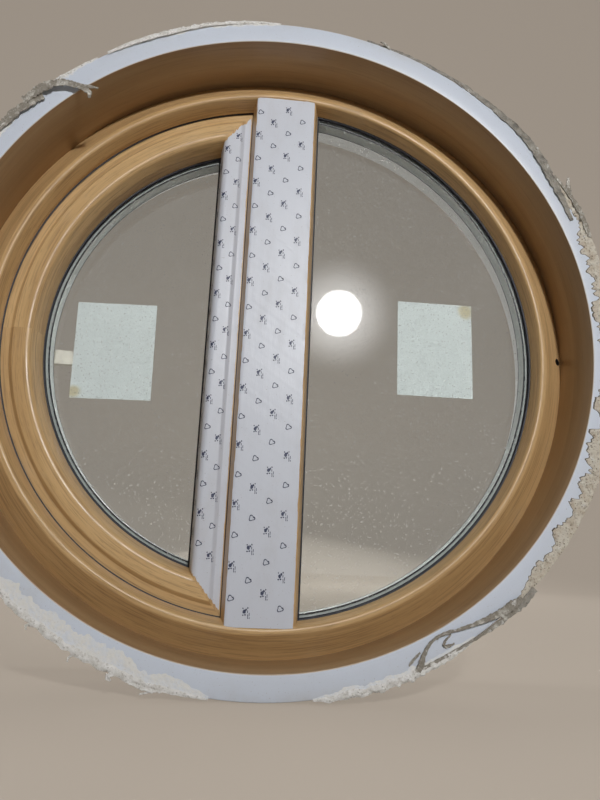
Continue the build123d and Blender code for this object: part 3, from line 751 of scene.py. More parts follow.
def white_and_foil(name):
    """The extension: white rim and outside, oak foil on the reveal wall. The reveal's foil is the
    oak darkened by half, as painted shade.
    """
    tone = finishes()
    made = Finish(name)
    axes = made.ring()
    run, radius, depth = axes
    bands = made.cloud((2.4, 55, 55), along=axes)
    streaks = made.cloud((10, 330, 330), 4, 0.6, axes)
    pores = made.cloud((42, 1100, 1100), 2, along=axes)
    scuff = made.cloud((30, 120, 120), 5, 0.7, axes)
    wood = made.layers(
        tone.oak_light,
        (bands, 0.35, 0.68, 1.0, tone.oak_mid),
        (streaks, 0.50, 0.78, 0.55, tone.oak_dark),
        (pores, 0.60, 0.74, 0.42, tone.oak_dark),
    )
    # Painted shade: the reveal's foil is mixed half way to dark brown, a shaded copy of the frame's
    # oak
    wood = made.mix(0.50, wood, (0.20, 0.125, 0.085))
    wood = made.layers(wood, (scuff, 0.60, 0.80, 0.30, (0.42, 0.36, 0.30)))
    cloud = made.cloud((9, 9, 9), 6, 0.7, axes)
    specks = made.cloud((700, 700, 700), 2, along=axes)
    outer = made.fade(radius, 0.362, 0.376)
    smeared = made.fade(run, -0.90, -0.80) * (1 - made.fade(run, -0.60, -0.50))
    grime = made.clamp(made.fade(cloud, 0.42, 0.75) * (0.18 + outer * 0.7 + smeared * 0.6))
    rim = made.mix(grime * 0.45, tone.rim, (0.42, 0.37, 0.30))
    rim = made.mix((specks > 0.70) * 0.55, rim, (0.30, 0.25, 0.20))
    rim = made.layers(rim, (radius, 0.3512, 0.3506, 0.7, (0.48, 0.38, 0.26)))
    inner = (radius < 0.35045) * (depth > 0.0004)
    normal = made.bump(cloud * 0.6 + streaks * inner * 0.4, 0.15, 0.0006)
    return made.surface(
        made.mix(inner, rim, wood), Roughness=0.30 + grime * 0.3, Normal=normal
    )


def plain_plastic(name, colour, shine=0.38):
    """Smooth white or grey plastic with faint clouding and rub marks."""
    made = Finish(name)
    cloud = made.cloud(14, 5, 0.65)
    dull = [part * 0.80 for part in colour]
    toned = made.layers(colour, (cloud, 0.40, 0.80, 0.6, dull))
    normal = made.bump(made.cloud(900, 2), 0.06, 0.0002)
    return made.surface(toned, Roughness=shine + cloud * 0.15, Normal=normal)


def film_finish(name):
    """White plastic film with faint wrinkles and rubbed dirt."""
    made = Finish(name)
    wrinkle = made.cloud((160, 160, 30), 4, 0.6)
    cloud = made.cloud((25, 25, 12), 5, 0.7)
    colour = made.layers(finishes().film, (cloud, 0.45, 0.8, 0.30, (0.47, 0.46, 0.47)))
    colour = made.mix((made.cloud(600, 2) > 0.72) * 0.5, colour, (0.25, 0.22, 0.20))
    normal = made.bump(wrinkle, 0.35, 0.0005)
    return made.surface(colour, Roughness=0.30 + cloud * 0.2, Normal=normal)


def ink(name):
    """Dark print, worn pale in places."""
    made = Finish(name)
    worn = (made.cloud(900, 2), 0.50, 0.72, 0.35, (0.22, 0.25, 0.34))
    return made.surface(made.layers(finishes().print_ink, worn), Roughness=0.45)


def glass(name):
    """Clear glass that lets the lamps' light through to what is behind it."""
    made = Finish(name)
    body = made.shader(finishes().glass, Roughness=0.0, IOR=1.5, Transmission_Weight=1.0)
    clear = made.node("ShaderNodeBsdfTransparent", None, {0: (0.985, 0.992, 0.988, 1.0)})
    path = made.node("ShaderNodeLightPath")
    return made.blended(made.value(path, "Is Shadow Ray"), body, clear)


def dust(name):
    """A veil of dust and specks on the glass, clear between the grains."""
    made = Finish(name)
    cloud = made.cloud(7, 5, 0.65)
    grains = made.fade(made.cloud(420, 2), 0.635, 0.68) * made.fade(cloud, 0.25, 0.55)
    veil = 0.010 + made.fade(cloud, 0.35, 0.75) * 0.03
    cover = made.clamp(grains * 0.75 + veil)
    return made.surface((0.62, 0.62, 0.60), Roughness=0.9, Alpha=cover)


def hazy(name, colour, scale, detail, stain, rough):
    """Matt surface with a faint haze, used on the spacer bars and the rubber."""
    made = Finish(name)
    haze = made.cloud(scale, detail)
    return made.surface(made.layers(colour, (haze, *stain)), Roughness=rough[0] + haze * rough[1])


def paper(name):
    """Blank back of a paper label seen through glass, with a glue stain at one corner."""
    made = Finish(name)
    x, y, z = made.place()
    fibre = made.cloud(420, 4, 0.6)
    cloud = made.cloud(30)
    colour = made.layers(
        finishes().paper,
        (fibre, 0.35, 0.7, 0.35, (0.68, 0.71, 0.70)),
        (cloud, 0.45, 0.75, 0.3, (0.80, 0.83, 0.83)),
    )
    for at_x, at_z, wide in GLUE_SPOTS:
        far = made.maths("SQRT", (x - at_x) * (x - at_x) + (z - at_z) * (z - at_z))
        far = far + (cloud - 0.5) * 0.01
        colour = made.layers(colour, (far, wide, wide * 0.35, 0.6, (0.62, 0.50, 0.22)))
    return made.surface(colour, Roughness=0.75, Normal=made.bump(fibre, 0.2, 0.0002))


def metal(name, colour, rough=0.36, share=1.0):
    """Brushed metal, or a lacquer with a share of metal in it."""
    made = Finish(name)
    brushed = made.cloud((260, 260, 40), 4)
    cloud = made.cloud(60, 4)
    toned = made.layers(colour, (cloud, 0.4, 0.8, 0.4, [0.7 * part for part in colour]))
    normal = made.bump(brushed, 0.1, 0.0002)
    return made.surface(toned, Metallic=share, Roughness=rough + cloud * 0.15, Normal=normal)


def plaster(name, body, chips, dirt):
    """Crumbly plaster and mastic, with pores, pale chips, dark stains and painted shade in its
    pores.
    """
    made = Finish(name)
    lumps = made.cloud(90, 6, 0.7)
    fine = made.cloud(420, 4, 0.65)
    pits = made.pits(260)
    colour = made.layers(
        body,
        (lumps, 0.35, 0.60, 1.0, chips),
        (fine, 0.50, 0.68, dirt, (0.26, 0.22, 0.17)),
        # Painted shade: the pores are darkened to near black, by the same share as the fine dark
        # stains
        (pits, 0.26, 0.12, dirt, (0.12, 0.09, 0.06)),
        (lumps, 0.60, 0.68, 0.7, (0.76, 0.75, 0.73)),
    )
    height = lumps * 0.5 + fine * 0.35 + made.fade(pits, 0.0, 0.3) * 0.3
    return made.surface(colour, Roughness=0.95, Normal=made.bump(height, 0.9, 0.0016))


def crumpled(name, colour, coarse, tiny, stains, rough, bump):
    """Thin torn or smeared stuff with a coarse and a fine pattern of stains."""
    made = Finish(name)
    cloud = made.cloud(coarse, 6, 0.7)
    fine = made.cloud(tiny, 3, 0.6)
    patterns = (cloud, cloud, fine)
    colour = made.layers(colour, *((where, *stain) for where, stain in zip(patterns, stains)))
    normal = made.bump(cloud * 0.5 + fine * 0.5, *bump)
    return made.surface(colour, Roughness=rough, Normal=normal)


def skin_finish(name):
    """Torn skin of old coating, pale on one side and grey where it is dirty."""
    stains = (
        (0.34, 0.52, 1.0, (0.27, 0.245, 0.205)),
        (0.56, 0.68, 0.8, (0.72, 0.71, 0.69)),
        (0.52, 0.66, 0.6, (0.15, 0.13, 0.10)),
    )
    return crumpled(name, (0.62, 0.60, 0.55), 110, 620, stains, 0.9, (0.8, 0.0012))


def filler(name):
    """Thin smear of pale filler with grey smudges."""
    stains = (
        (0.36, 0.60, 1.0, (0.76, 0.75, 0.72)),
        (0.60, 0.70, 0.6, (0.42, 0.41, 0.39)),
        (0.62, 0.72, 0.4, (0.40, 0.36, 0.30)),
    )
    return crumpled(name, (0.70, 0.73, 0.78), 60, 500, stains, 0.8, (0.6, 0.0008))


def board(name):
    """Plain pale floor and backdrop, seen a little darker through the panes: painted shade in place
    of the window's shadow on it.
    """
    made = Finish(name)
    colour = made.mix(made.cloud(3) * 0.06, finishes().stage, (0.50, 0.47, 0.43))
    lit = made.shader(colour, Roughness=0.9)
    glow = made.node("ShaderNodeEmission", None, {0: (0.50, 0.43, 0.36, 1.0)})
    path = made.node("ShaderNodeLightPath")
    passed = made.value(path, "Is Transmission Ray")
    seen = made.value(path, "Is Camera Ray") + passed + made.value(path, "Is Glossy Ray")
    # The glow is cut for rays through the panes, painted shade in place of the window's shadow
    return made.blended(made.clamp(seen) * 0.6 - passed * 0.38, lit, glow)


def finish_named(name):
    """Makes each finish once and hands it out again."""
    if name in bpy.data.materials:
        return bpy.data.materials[name]
    tone = finishes()
    spacer_stain = (0.4, 0.7, 0.3, (0.30, 0.32, 0.31))
    rubber_stain = (0.5, 0.8, 0.35, (0.10, 0.11, 0.13))
    makers = {
        "oak round the ring": (oak,),
        "oak along the bar": (oak, True),
        "white rim and oak reveal": (white_and_foil,),
        "white room side": (plain_plastic, tone.inside),
        "grey plastic": (plain_plastic, (0.10, 0.11, 0.12), 0.5),
        "satin champagne": (metal, tone.champagne, 0.34, 0.4),
        "white film": (film_finish,),
        "print on film": (ink,),
        "clear glass": (glass,),
        "dust on glass": (dust,),
        "spacer bar": (hazy, tone.spacer, 300, 3, spacer_stain, (0.55, 0.15)),
        "black rubber": (hazy, tone.rubber, 120, 4, rubber_stain, (0.42, 0.2)),
        "label paper": (paper,),
        "zinc plated steel": (metal, tone.zinc),
        "old plaster": (plaster, tone.plaster, (0.62, 0.58, 0.50), 0.75),
        "pale filler": (plaster, (0.66, 0.64, 0.60), (0.80, 0.79, 0.77), 0.40),
        "grey mastic": (plaster, (0.17, 0.16, 0.145), (0.34, 0.32, 0.28), 0.6),
        "smeared filler": (filler,),
        # Near-black plaster for the inner edge of the old plaster crust: a painted shadow line
        "dark crack": (plaster, (0.07, 0.06, 0.05), (0.16, 0.14, 0.12), 0.5),
        "torn skin": (skin_finish,),
        "pale stage": (board,),
    }
    make, *settings = makers[name]
    return make(name, *settings)


# Pieces


class WINDOW_OT_stage(bpy.types.Operator):
    """Floor, backdrop, lamps and the camera at the photograph's place"""

    bl_idname = "window.stage"
    bl_label = "Stage"

    def execute(self, context):
        self.floor()
        self.lamps(context)
        self.sky(context)
        self.camera(context)
        context.scene.view_settings.view_transform = "Standard"
        return {"FINISHED"}

    def floor(self):
        """Flat floor that bends up into a backdrop behind the window."""
        low = CAD_LOW.z - MM
        near, far, bend, top, half = -3.0, 2.0, 0.8, 4.0, 5.0
        sweep = [(near, low)]
        bends = 12
        for step in range(bends + 1):
            turn = math.pi / 2 * step / bends
            sweep.append((far + bend * math.sin(turn), low + bend - bend * math.cos(turn)))
        sweep.append((far + bend, top))
        rows = [[(side, y, z) for side in (-half, half)] for y, z in sweep]
        vertices, faces = loft(rows, closed_loop=False, closed_profile=False)
        floor = keep("stage_floor", vertices, faces, materials=["pale stage"])

    def lamps(self, context):
        """Round lamps aimed at the window. Only the key and its halo show in the panes."""
        rows = (
            ("key_lamp", (0.362, -2.0, 0.84), 0.24, 1.26, True),
            ("key_halo", (0.362, -2.02, 0.84), 0.62, 0.13, True),
            ("fill_lamp", (-1.9, -1.6, 0.3), 1.6, 0.015, False),
            ("left_lamp", (-2.4, 0.34, 0.7), 0.5, 0.24, False),
            ("right_lamp", (2.4, 0.34, 0.7), 0.5, 0.24, False),
            ("top_lamp", (0.0, 0.34, 2.6), 0.5, 0.24, False),
            ("back_lamp", (0.5, 2.3, 0.6), 1.3, 0.42, False),
            ("back_fill", (-0.8, 2.2, 0.0), 1.3, 0.14, False),
        )
        for name, place, size, share, mirrored in rows:
            data = bpy.data.lights.new(name, "AREA")
            data.shape = "DISK"
            data.size = size
            data.energy = sizes().key_power * share
            lamp = bpy.data.objects.new(name, data)
            lamp.location = place
            aim = Vector((0, 0.05, 0)) - Vector(place)
            lamp.rotation_euler = aim.to_track_quat("-Z", "Y").to_euler()
            lamp.visible_camera = False
            lamp.visible_transmission = False
            lamp.visible_glossy = mirrored
            context.scene.collection.objects.link(lamp)
            if mirrored:
                self.soften(data)

    def soften(self, data):
        """Lets a lamp fade from its middle to its rim."""
        data.use_nodes = True
        made = Finish(data.name, data.node_tree)
        place = made.value(made.node("ShaderNodeNewGeometry"), "Parametric")
        away = made.node(
            "ShaderNodeVectorMath", {"operation": "DISTANCE"}, {0: place, 1: (0.5, 0.5, 0.0)}
        )
        spread = made.node(
            "ShaderNodeMapRange", {"interpolation_type": "SMOOTHERSTEP"},
            {"Value": made.value(away, "Value"), "From Min": 0.5, "From Max": 0.04,
             "To Min": 0.0, "To Max": 1.8},
        )
        made.tree.links.new(spread.outputs[0], made.tree.nodes["Emission"].inputs["Strength"])

    def sky(self, context):
        """Dim even light, seen brighter by the camera and in the panes as a plain room."""
        world = bpy.data.worlds.new("soft sky")
        world.use_nodes = True
        made = Finish(world.name, world.node_tree)
        back = made.tree.nodes["Background"]
        back.inputs["Color"].default_value = (0.96, 0.95, 0.93, 1.0)
        path = made.node("ShaderNodeLightPath")
        glossy = made.value(path, "Is Glossy Ray")
        seen = made.value(path, "Is Camera Ray") + made.value(path, "Is Transmission Ray")
        strength = glossy * 0.12 + seen * 0.46 + EVEN_LIGHT
        made.tree.links.new(strength.socket, back.inputs["Strength"])
        context.scene.world = world

    def camera(self, context):
        """Camera at the photograph's viewing angle."""
        data = bpy.data.cameras.new("photo_camera")
        data.sensor_width = 36.0
        data.lens = sizes().camera_lens
        data.clip_start = 0.01
        camera = bpy.data.objects.new("photo_camera", data)
        context.scene.collection.objects.link(camera)
        x, y, z = (math.radians(turn) for turn in CAMERA_TURN)
        turn = Matrix.Rotation(z, 3, "Z") @ Matrix.Rotation(y, 3, "Y") @ Matrix.Rotation(x, 3, "X")
        lean = Matrix.Rotation(math.radians(CAMERA_LEAN), 3, "Z")
        upright = Matrix(((1, 0, 0), (0, 0, -1), (0, 1, 0)))
        place = upright @ lean @ Vector(CAMERA_PLACE)
        axes = upright @ lean @ turn
        camera.matrix_world = Matrix.Translation(place) @ axes.to_4x4()
        context.scene.camera = camera


class WINDOW_OT_extension(bpy.types.Operator):
    """White front rim with the deep oak reveal"""

    bl_idname = "window.extension"
    bl_label = "Rim and reveal"

    def execute(self, context):
        corners = [
            (REVEAL, 0, 0.9), (RIM, 0, 1.2), (RIM, REVEAL_DEPTH, 0.3), (REVEAL, REVEAL_DEPTH, 0.3),
        ]
        piece = spin(
            "rim_and_reveal", rounded(corners, 3), "frame", "white_profile",
            ["white rim and oak reveal"],
        )
        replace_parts(piece, "depth_extension")
        return {"FINISHED"}


class WINDOW_OT_outer_frame(bpy.types.Operator):
    """Oak foil frame ring with its rounded crown and the hole in its face"""

    bl_idname = "window.outer_frame"
    bl_label = "Outer frame"

    def execute(self, context):
        corners = [
            (RIM, REVEAL_DEPTH, 0.4), (REVEAL, REVEAL_DEPTH, 0), (322.5, 54.2, 5.0),
            (CROWN, 53.6, 4.5), (LIP, LIP_BACK, 0.8), (REBATE, LIP_BACK, 0.5),
            (REBATE, FRAME_BACK, 1.0), (RIM, FRAME_BACK, 1.5),
        ]
        piece = spin(
            "frame_ring", rounded(corners, 6), "frame", "oak_foil",
            ["oak round the ring", "white room side"],
        )
        for face in piece.data.polygons:
            if face.center.y > (REVEAL_DEPTH + 0.5) * MM:
                face.material_index = 1
        drill(piece, (DRAIN, 60.0, 0.0), 4.0, 39.0, "grey plastic")
        pocket(piece, *KEEPER_POCKET, "grey plastic")
        lip = rounded(
            [(0, 73.2, 0.0), (3.2, 73.2, 0.0), (3.4, 77.2, 0.9), (1.2, 77.6, 0.6)], 3,
        )
        moon(
            "lip_return", lip, SEAL, SEAL_HALF, -1, "frame", "oak_foil",
            ["oak round the ring", "oak along the bar"], split=True,
        )
        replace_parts(piece, "outer_frame")
        return {"FINISHED"}


class WINDOW_OT_sash(bpy.types.Operator):
    """Opening half's welded frame, foil outdoors and white on the room side"""

    bl_idname = "window.sash"
    bl_label = "Sash"

    def execute(self, context):
        outline = sash_outline()
        piece = moon(
            "sash_profile", outline, SASH, SASH_HALF, -1, "sash", "oak_foil",
            ["oak round the ring", "oak along the bar", "white room side"], split=True,
        )
        length = len(piece.data.polygons) // len(outline)
        for number, face in enumerate(piece.data.polygons):
            row = number // length
            near, far = outline[row], outline[(row + 1) % len(outline)]
            inner = min(near[0], far[0]) > 40
            foil_end = SASH_LIP_BACK + 0.6 if inner else 84.0
            if max(near[1], far[1]) > foil_end:
                face.material_index = 2
        pocket(piece, *LOCK_POCKET, "grey plastic")
        drill(piece, (HANDLE_X, 145.0, 0.0), SPINDLE_BORE / 2, 15.0, "grey plastic")
        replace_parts(piece, "sash_frame")
        return {"FINISHED"}


class WINDOW_OT_films(bpy.types.Operator):
    """Protective film on the straight bars, with its small printed marks"""

    bl_idname = "window.films"
    bl_label = "Films"

    def execute(self, context):
        self.mullion()
        self.stile()
        return {"FINISHED"}

    def sheet(self, name, course, end, body, seed):
        """Film of a course swept up the bar, between ends given by place across."""
        rise = sizes().film_rise / MM
        columns, rows = 46, 320
        grid = []
        for row in range(rows + 1):
            line = []
            for column in range(columns + 1):
                run = course.length * column / columns
                across = course.at(run)[0]
                high = end(across, run, 1)
                low = -end(across, run, -1)
                z = low + (high - low) * row / rows
                near_edge = min(run, course.length - run)
                slack = max(0.0, 1 - near_edge / 3.0)
                wander = slack * 0.5 * ragged(seed + column // (columns // 2), z, 0.045)
                lift = rise + slack * 0.30 * max(0.0, ragged(seed + 5, z, 0.07))
                lift += 0.05 * (1 + ragged(seed + 9, z + run * 0.7, 0.12))
                where = course.at(run + (wander if column > columns / 2 else -wander), lift)
                line.append((where[0] * MM, where[1] * MM, z * MM))
            grid.append(line)
        return slab(name, grid, 0.12 * MM, body, "film", ["white film"])

    def marks(self, name, course, lines, end, body, seed):
        """Small loops and blots in turn along each line, a third of a millimetre proud."""
        rise = sizes().film_rise / MM + 0.24
        pitch = sizes().mark_pitch / MM / 2
        chance = random.Random(seed)
        vertices, faces = [], []

        def spot(run, z):
            where = course.at(run, rise)
            vertices.append((where[0] * MM, where[1] * MM, z * MM))
            return len(vertices) - 1

        def loop(run, z):
            size, facets = 3.3, 24
            rings = []
            for scale in (1.0, 0.70):
                ring = []
                for turn in full_circle(facets):
                    reach = size * scale * (1 + 0.20 * math.cos(3 * (turn - 1.9)))
                    across, up = reach * math.cos(turn), reach * math.sin(turn) * 0.95
                    ring.append(spot(run + across, z + up))
                rings.append(ring)
            outer, inner = rings
            for step in range(facets):
                beyond = (step + 1) % facets
                faces.append((outer[step], outer[beyond], inner[beyond], inner[step]))
            patch(run + 2.4, z + 1.0, 1.1, 0.7)

        def patch(run, z, wide, tall):
            ring = []
            for turn in full_circle(10):
                reach = 1 + chance.uniform(-0.22, 0.22)
                across, up = wide * reach * math.cos(turn), tall * reach * math.sin(turn)
                ring.append(spot(run + across, z + up))
            faces.append(ring)

        def dash(run, z, tall):
            ring = [spot(run - 0.36, z), spot(run + 0.36, z)]
            ring += [spot(run + 0.38, z + tall), spot(run - 0.33, z + tall)]
            faces.append(ring)

        def blot(run, z):
            for across, up, wide, tall in BLOT_PATCHES:
                patch(run + across, z + up, wide, tall)
            for across, up, tall in BLOT_DASHES:
                dash(run + across, z + up, tall)

        for run, phase in lines:
            across = course.at(run)[0]
            high = end(across, run, 1) - 9
            low = -end(across, run, -1) + 9
            number = 0
            z = high - phase
            while z > low:
                shift = chance.uniform(-0.3, 0.3)
                if z < high:
                    (loop if number % 2 else blot)(run + shift, z)
                z -= pitch
                number += 1
        return keep(name, vertices, faces, body, "film", ["print on film"])

    def mullion(self):
        course = mullion_course()

        def end(across, run, way):
            return MULLION_END + 0.15 * ragged(2 + way, run, 0.2)

        sheet = self.sheet("mullion_film_sheet", course, end, "frame", 11)
        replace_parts(sheet, "mullion_film")
        middle = course.length / 2
        lines = [(middle - 31, -20), (middle - 13.5, 26), (middle + 4, 7), (middle + 21.5, -11)]
        self.marks("mullion_film_print", course, lines, end, "frame", 21)

    def stile(self):
        course = sash_course()

        def end(across, run, way):
            mitre = MITRE + MITRE_SLOPE * (across + MULLION_HALF)
            tear = 2.6 * abs(ragged(3 + way, run, 0.33)) + 1.6 * abs(ragged(8 + way, run, 0.9))
            return mitre - 1.6 - tear

        sheet = self.sheet("stile_film_sheet", course, end, "sash", 31)
        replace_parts(sheet, "sash_film")
        lines = [(7.5, 20), (21.5, 8), (35.0, 6)]
        self.marks("stile_film_print", course, lines, end, "sash", 41)


class WINDOW_OT_glazing(bpy.types.Operator):
    """Panes with their dust, spacer bars and outer gaskets"""

    bl_idname = "window.glazing"
    bl_label = "Glazing"

    def execute(self, context):
        halves = (
            ("fixed", "frame", 1, FIXED_GLASS, 313.5, 29.0, 315.5, 36.5, LIP_BACK),
            ("sash", "sash", -1, SASH_GLASS, 274.1, 68.4, 276.1, 75.9, SASH_LIP_BACK),
        )
        for label, body, side, front, bar, bar_half, lip, lip_half, lip_back in halves:
            dress("clear glass", f"{label}_outer_pane", f"{label}_inner_pane")
            gap = front + PANE
            end = gap + CAVITY
            section = rounded(
                [(0, gap, 0.3), (7.6, gap, 0.2), (8.4, gap + 1.2, 0.3), (8.4, end - 1.2, 0.3),
                 (7.6, end, 0.2), (0, end, 0.3)], 2,
            )
            piece = moon(
                f"{label}_spacer_bar", section, bar, bar_half, side, body, "spacer_metal",
                ["spacer bar"],
            )
            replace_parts(piece, f"{label}_spacer")
            thick = 0.35
            for number, start in enumerate((gap, end - thick)):
                stop = start + thick
                line = [(6.6, start), (8.5, start), (8.5, stop), (6.6, stop)]
                moon(
                    f"{label}_butyl_line_{number}", line, bar, bar_half, side, body,
                    "black_rubber", ["black rubber"],
                )
            lip_section = rounded(
                [(0, lip_back, 0), (GASKET_LIP, lip_back, 0.6), (6.8, front - 0.4, 0.5),
                 (5.8, front, 0.3), (0, front, 0)], 3,
            )
            piece = moon(
                f"{label}_outer_gasket_lip", lip_section, lip, lip_half, side, body,
                "black_rubber", ["black rubber"],
            )
            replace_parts(piece, f"{label}_outer_gasket")
            self.veil(label, body, side, front, mitre_of(lip, lip_half, GASKET_LIP))
        return {"FINISHED"}

    def veil(self, label, body, side, front, mitre):
        """Thin dust sheet on a pane's outer face."""
        reach, _, corner = mitre
        depth = (front - 0.15) * MM
        steps = 96
        ring = []
        for step in range(steps + 1):
            turn = corner * (2 * step / steps - 1)
            ring.append((side * reach * math.cos(turn) * MM, depth, reach * math.sin(turn) * MM))
        keep(
            f"{label}_pane_dust", ring, [list(range(steps + 1))], body, "clear_glass",
            ["dust on glass"],
        )


class WINDOW_OT_beads(bpy.types.Operator):
    """Glazing beads on the room side, each with its black lip on the glass"""

    bl_idname = "window.beads"
    bl_label = "Glazing beads"

    def execute(self, context):
        halves = (
            ("fixed", "frame", 1, REBATE, FIXED_REBATE_HALF, FIXED_REBATE_WIDTH,
             FIXED_GLASS + UNIT, FRAME_BACK),
            ("sash", "sash", -1, SASH_REBATE, SASH_REBATE_HALF, SASH_REBATE_WIDTH,
             SASH_GLASS + UNIT, SASH_BACK),
        )
        for label, body, side, radius, half, width, front, back in halves:
            section = rounded(
                [(0.15, front, 0.4), (width, front, 1.2), (width - 1.0, front + 6, 3.0),
                 (width - 7.0, back, 2.5), (0.15, back, 0.8)], 4,
            )
            for part, node in (("arc", "curved_bead"), ("bar", "straight_bead")):
                piece = half_moon(
                    f"{label}_{node}_profile", section, radius, half, side, part, body,
                    "white_profile", ["white room side"],
                )
                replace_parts(piece, f"{label}_{node}")
            lip = rounded(
                [(width - 2.5, front, 0), (width + 1.8, front, 0.4),
                 (width + 0.6, front + 2.2, 0.8), (width - 2.5, front + 3.0, 0)], 3,
            )
            moon(
                f"{label}_bead_lip", lip, radius, half, side, body, "black_rubber",
                ["black rubber"],
            )
        return {"FINISHED"}


class WINDOW_OT_seals(bpy.types.Operator):
    """Soft seals between the frame and the sash"""

    bl_idname = "window.seals"
    bl_label = "Seals"

    def execute(self, context):
        rows = (
            ("frame", SEAL, SEAL_HALF,
             [(0.4, 77.7, 0.2), (3.0, 77.7, 0.4), (4.3, 77.9, 0.6), (4.4, 79.1, 0.5),
              (1.0, 79.15, 0.4)]),
            ("sash", 340.5, 11.5,
             [(0, FLANGE_FRONT, 0.2), (5, FLANGE_FRONT, 0.2), (4.4, 138.4, 1.2),
              (2.6, 137.35, 1.2), (0.8, 138.2, 1.2)]),
        )
        for body, radius, half, corners in rows:
            piece = moon(
                f"{body}_seal_lip", rounded(corners, 4), radius, half, -1, body,
                "black_rubber", ["black rubber"],
            )
            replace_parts(piece, f"{body}_seal")
        return {"FINISHED"}


class WINDOW_OT_hardware(bpy.types.Operator):
    """Finishes of the hinges, handle, lock and hidden steel, and the hinge screws"""

    bl_idname = "window.hardware"
    bl_label = "Hinges, handle and lock"

    def execute(self, context):
        dress(
            "satin champagne", "hinge_frame_leaves", "hinge_sash_leaves", "handle_rose",
            "handle_lever",
        )
        dress(
            "zinc plated steel", "lock_case", "handle_spindle", "lock_pinion", "lock_bolt",
            "keeper", "mullion_steel", "stile_steel",
        )
        dress(
            "grey plastic", "mullion_connectors", "fixed_setting_blocks", "sash_setting_blocks"
        )
        frame_places, sash_places = [], []
        for middle in (-HINGE_HEIGHT, HINGE_HEIGHT):
            for rise in (-28, 0, 28):
                frame_places.append((8.5, 140.0, middle + rise))
                sash_places.append((-31.0, 160.0, middle + rise))
                if rise:
                    sash_places.append((-20.0, 160.0, middle + rise * 0.6))
        screws("hinge_screws_frame", frame_places, "frame")
        screws("hinge_screws_sash", sash_places, "sash")
        return {"FINISHED"}


class WINDOW_OT_labels(bpy.types.Operator):
    """Blank labels on the room side of each inner pane"""

    bl_idname = "window.labels"
    bl_label = "Labels"

    def execute(self, context):
        dress("label paper", "fixed_label", "sash_label")
        return {"FINISHED"}


class WINDOW_OT_mullion(bpy.types.Operator):
    """Foil finish of the bar between the halves"""

    bl_idname = "window.mullion"
    bl_label = "Mullion"

    def execute(self, context):
        dress("oak along the bar", "mullion")
        return {"FINISHED"}


# Each crust has its node, first and last angle, reach in and out, tear, reach back, seed,
# share left thin, and finish
CRUSTS = (
    ("residue_right", -50, 33, 16.0, 4.0, 14.0, 26.0, 3, 0.07, "old plaster"),
    ("residue_top", 92, 124, 3.5, 5.0, 3.0, 26.0, 5, 0.2, "pale filler"),
    ("residue_left", 126, 178, 5.0, 4.0, 5.0, 26.0, 8, 0.3, "pale filler"),
    ("residue_bottom_left", -140, -97, 15.0, 5.0, 6.0, 26.0, 13, 0.6, "pale filler"),
    ("residue_bottom", -82, -56, 5.0, 8.0, 4.0, 13.0, 17, 0.25, "pale filler"),
)

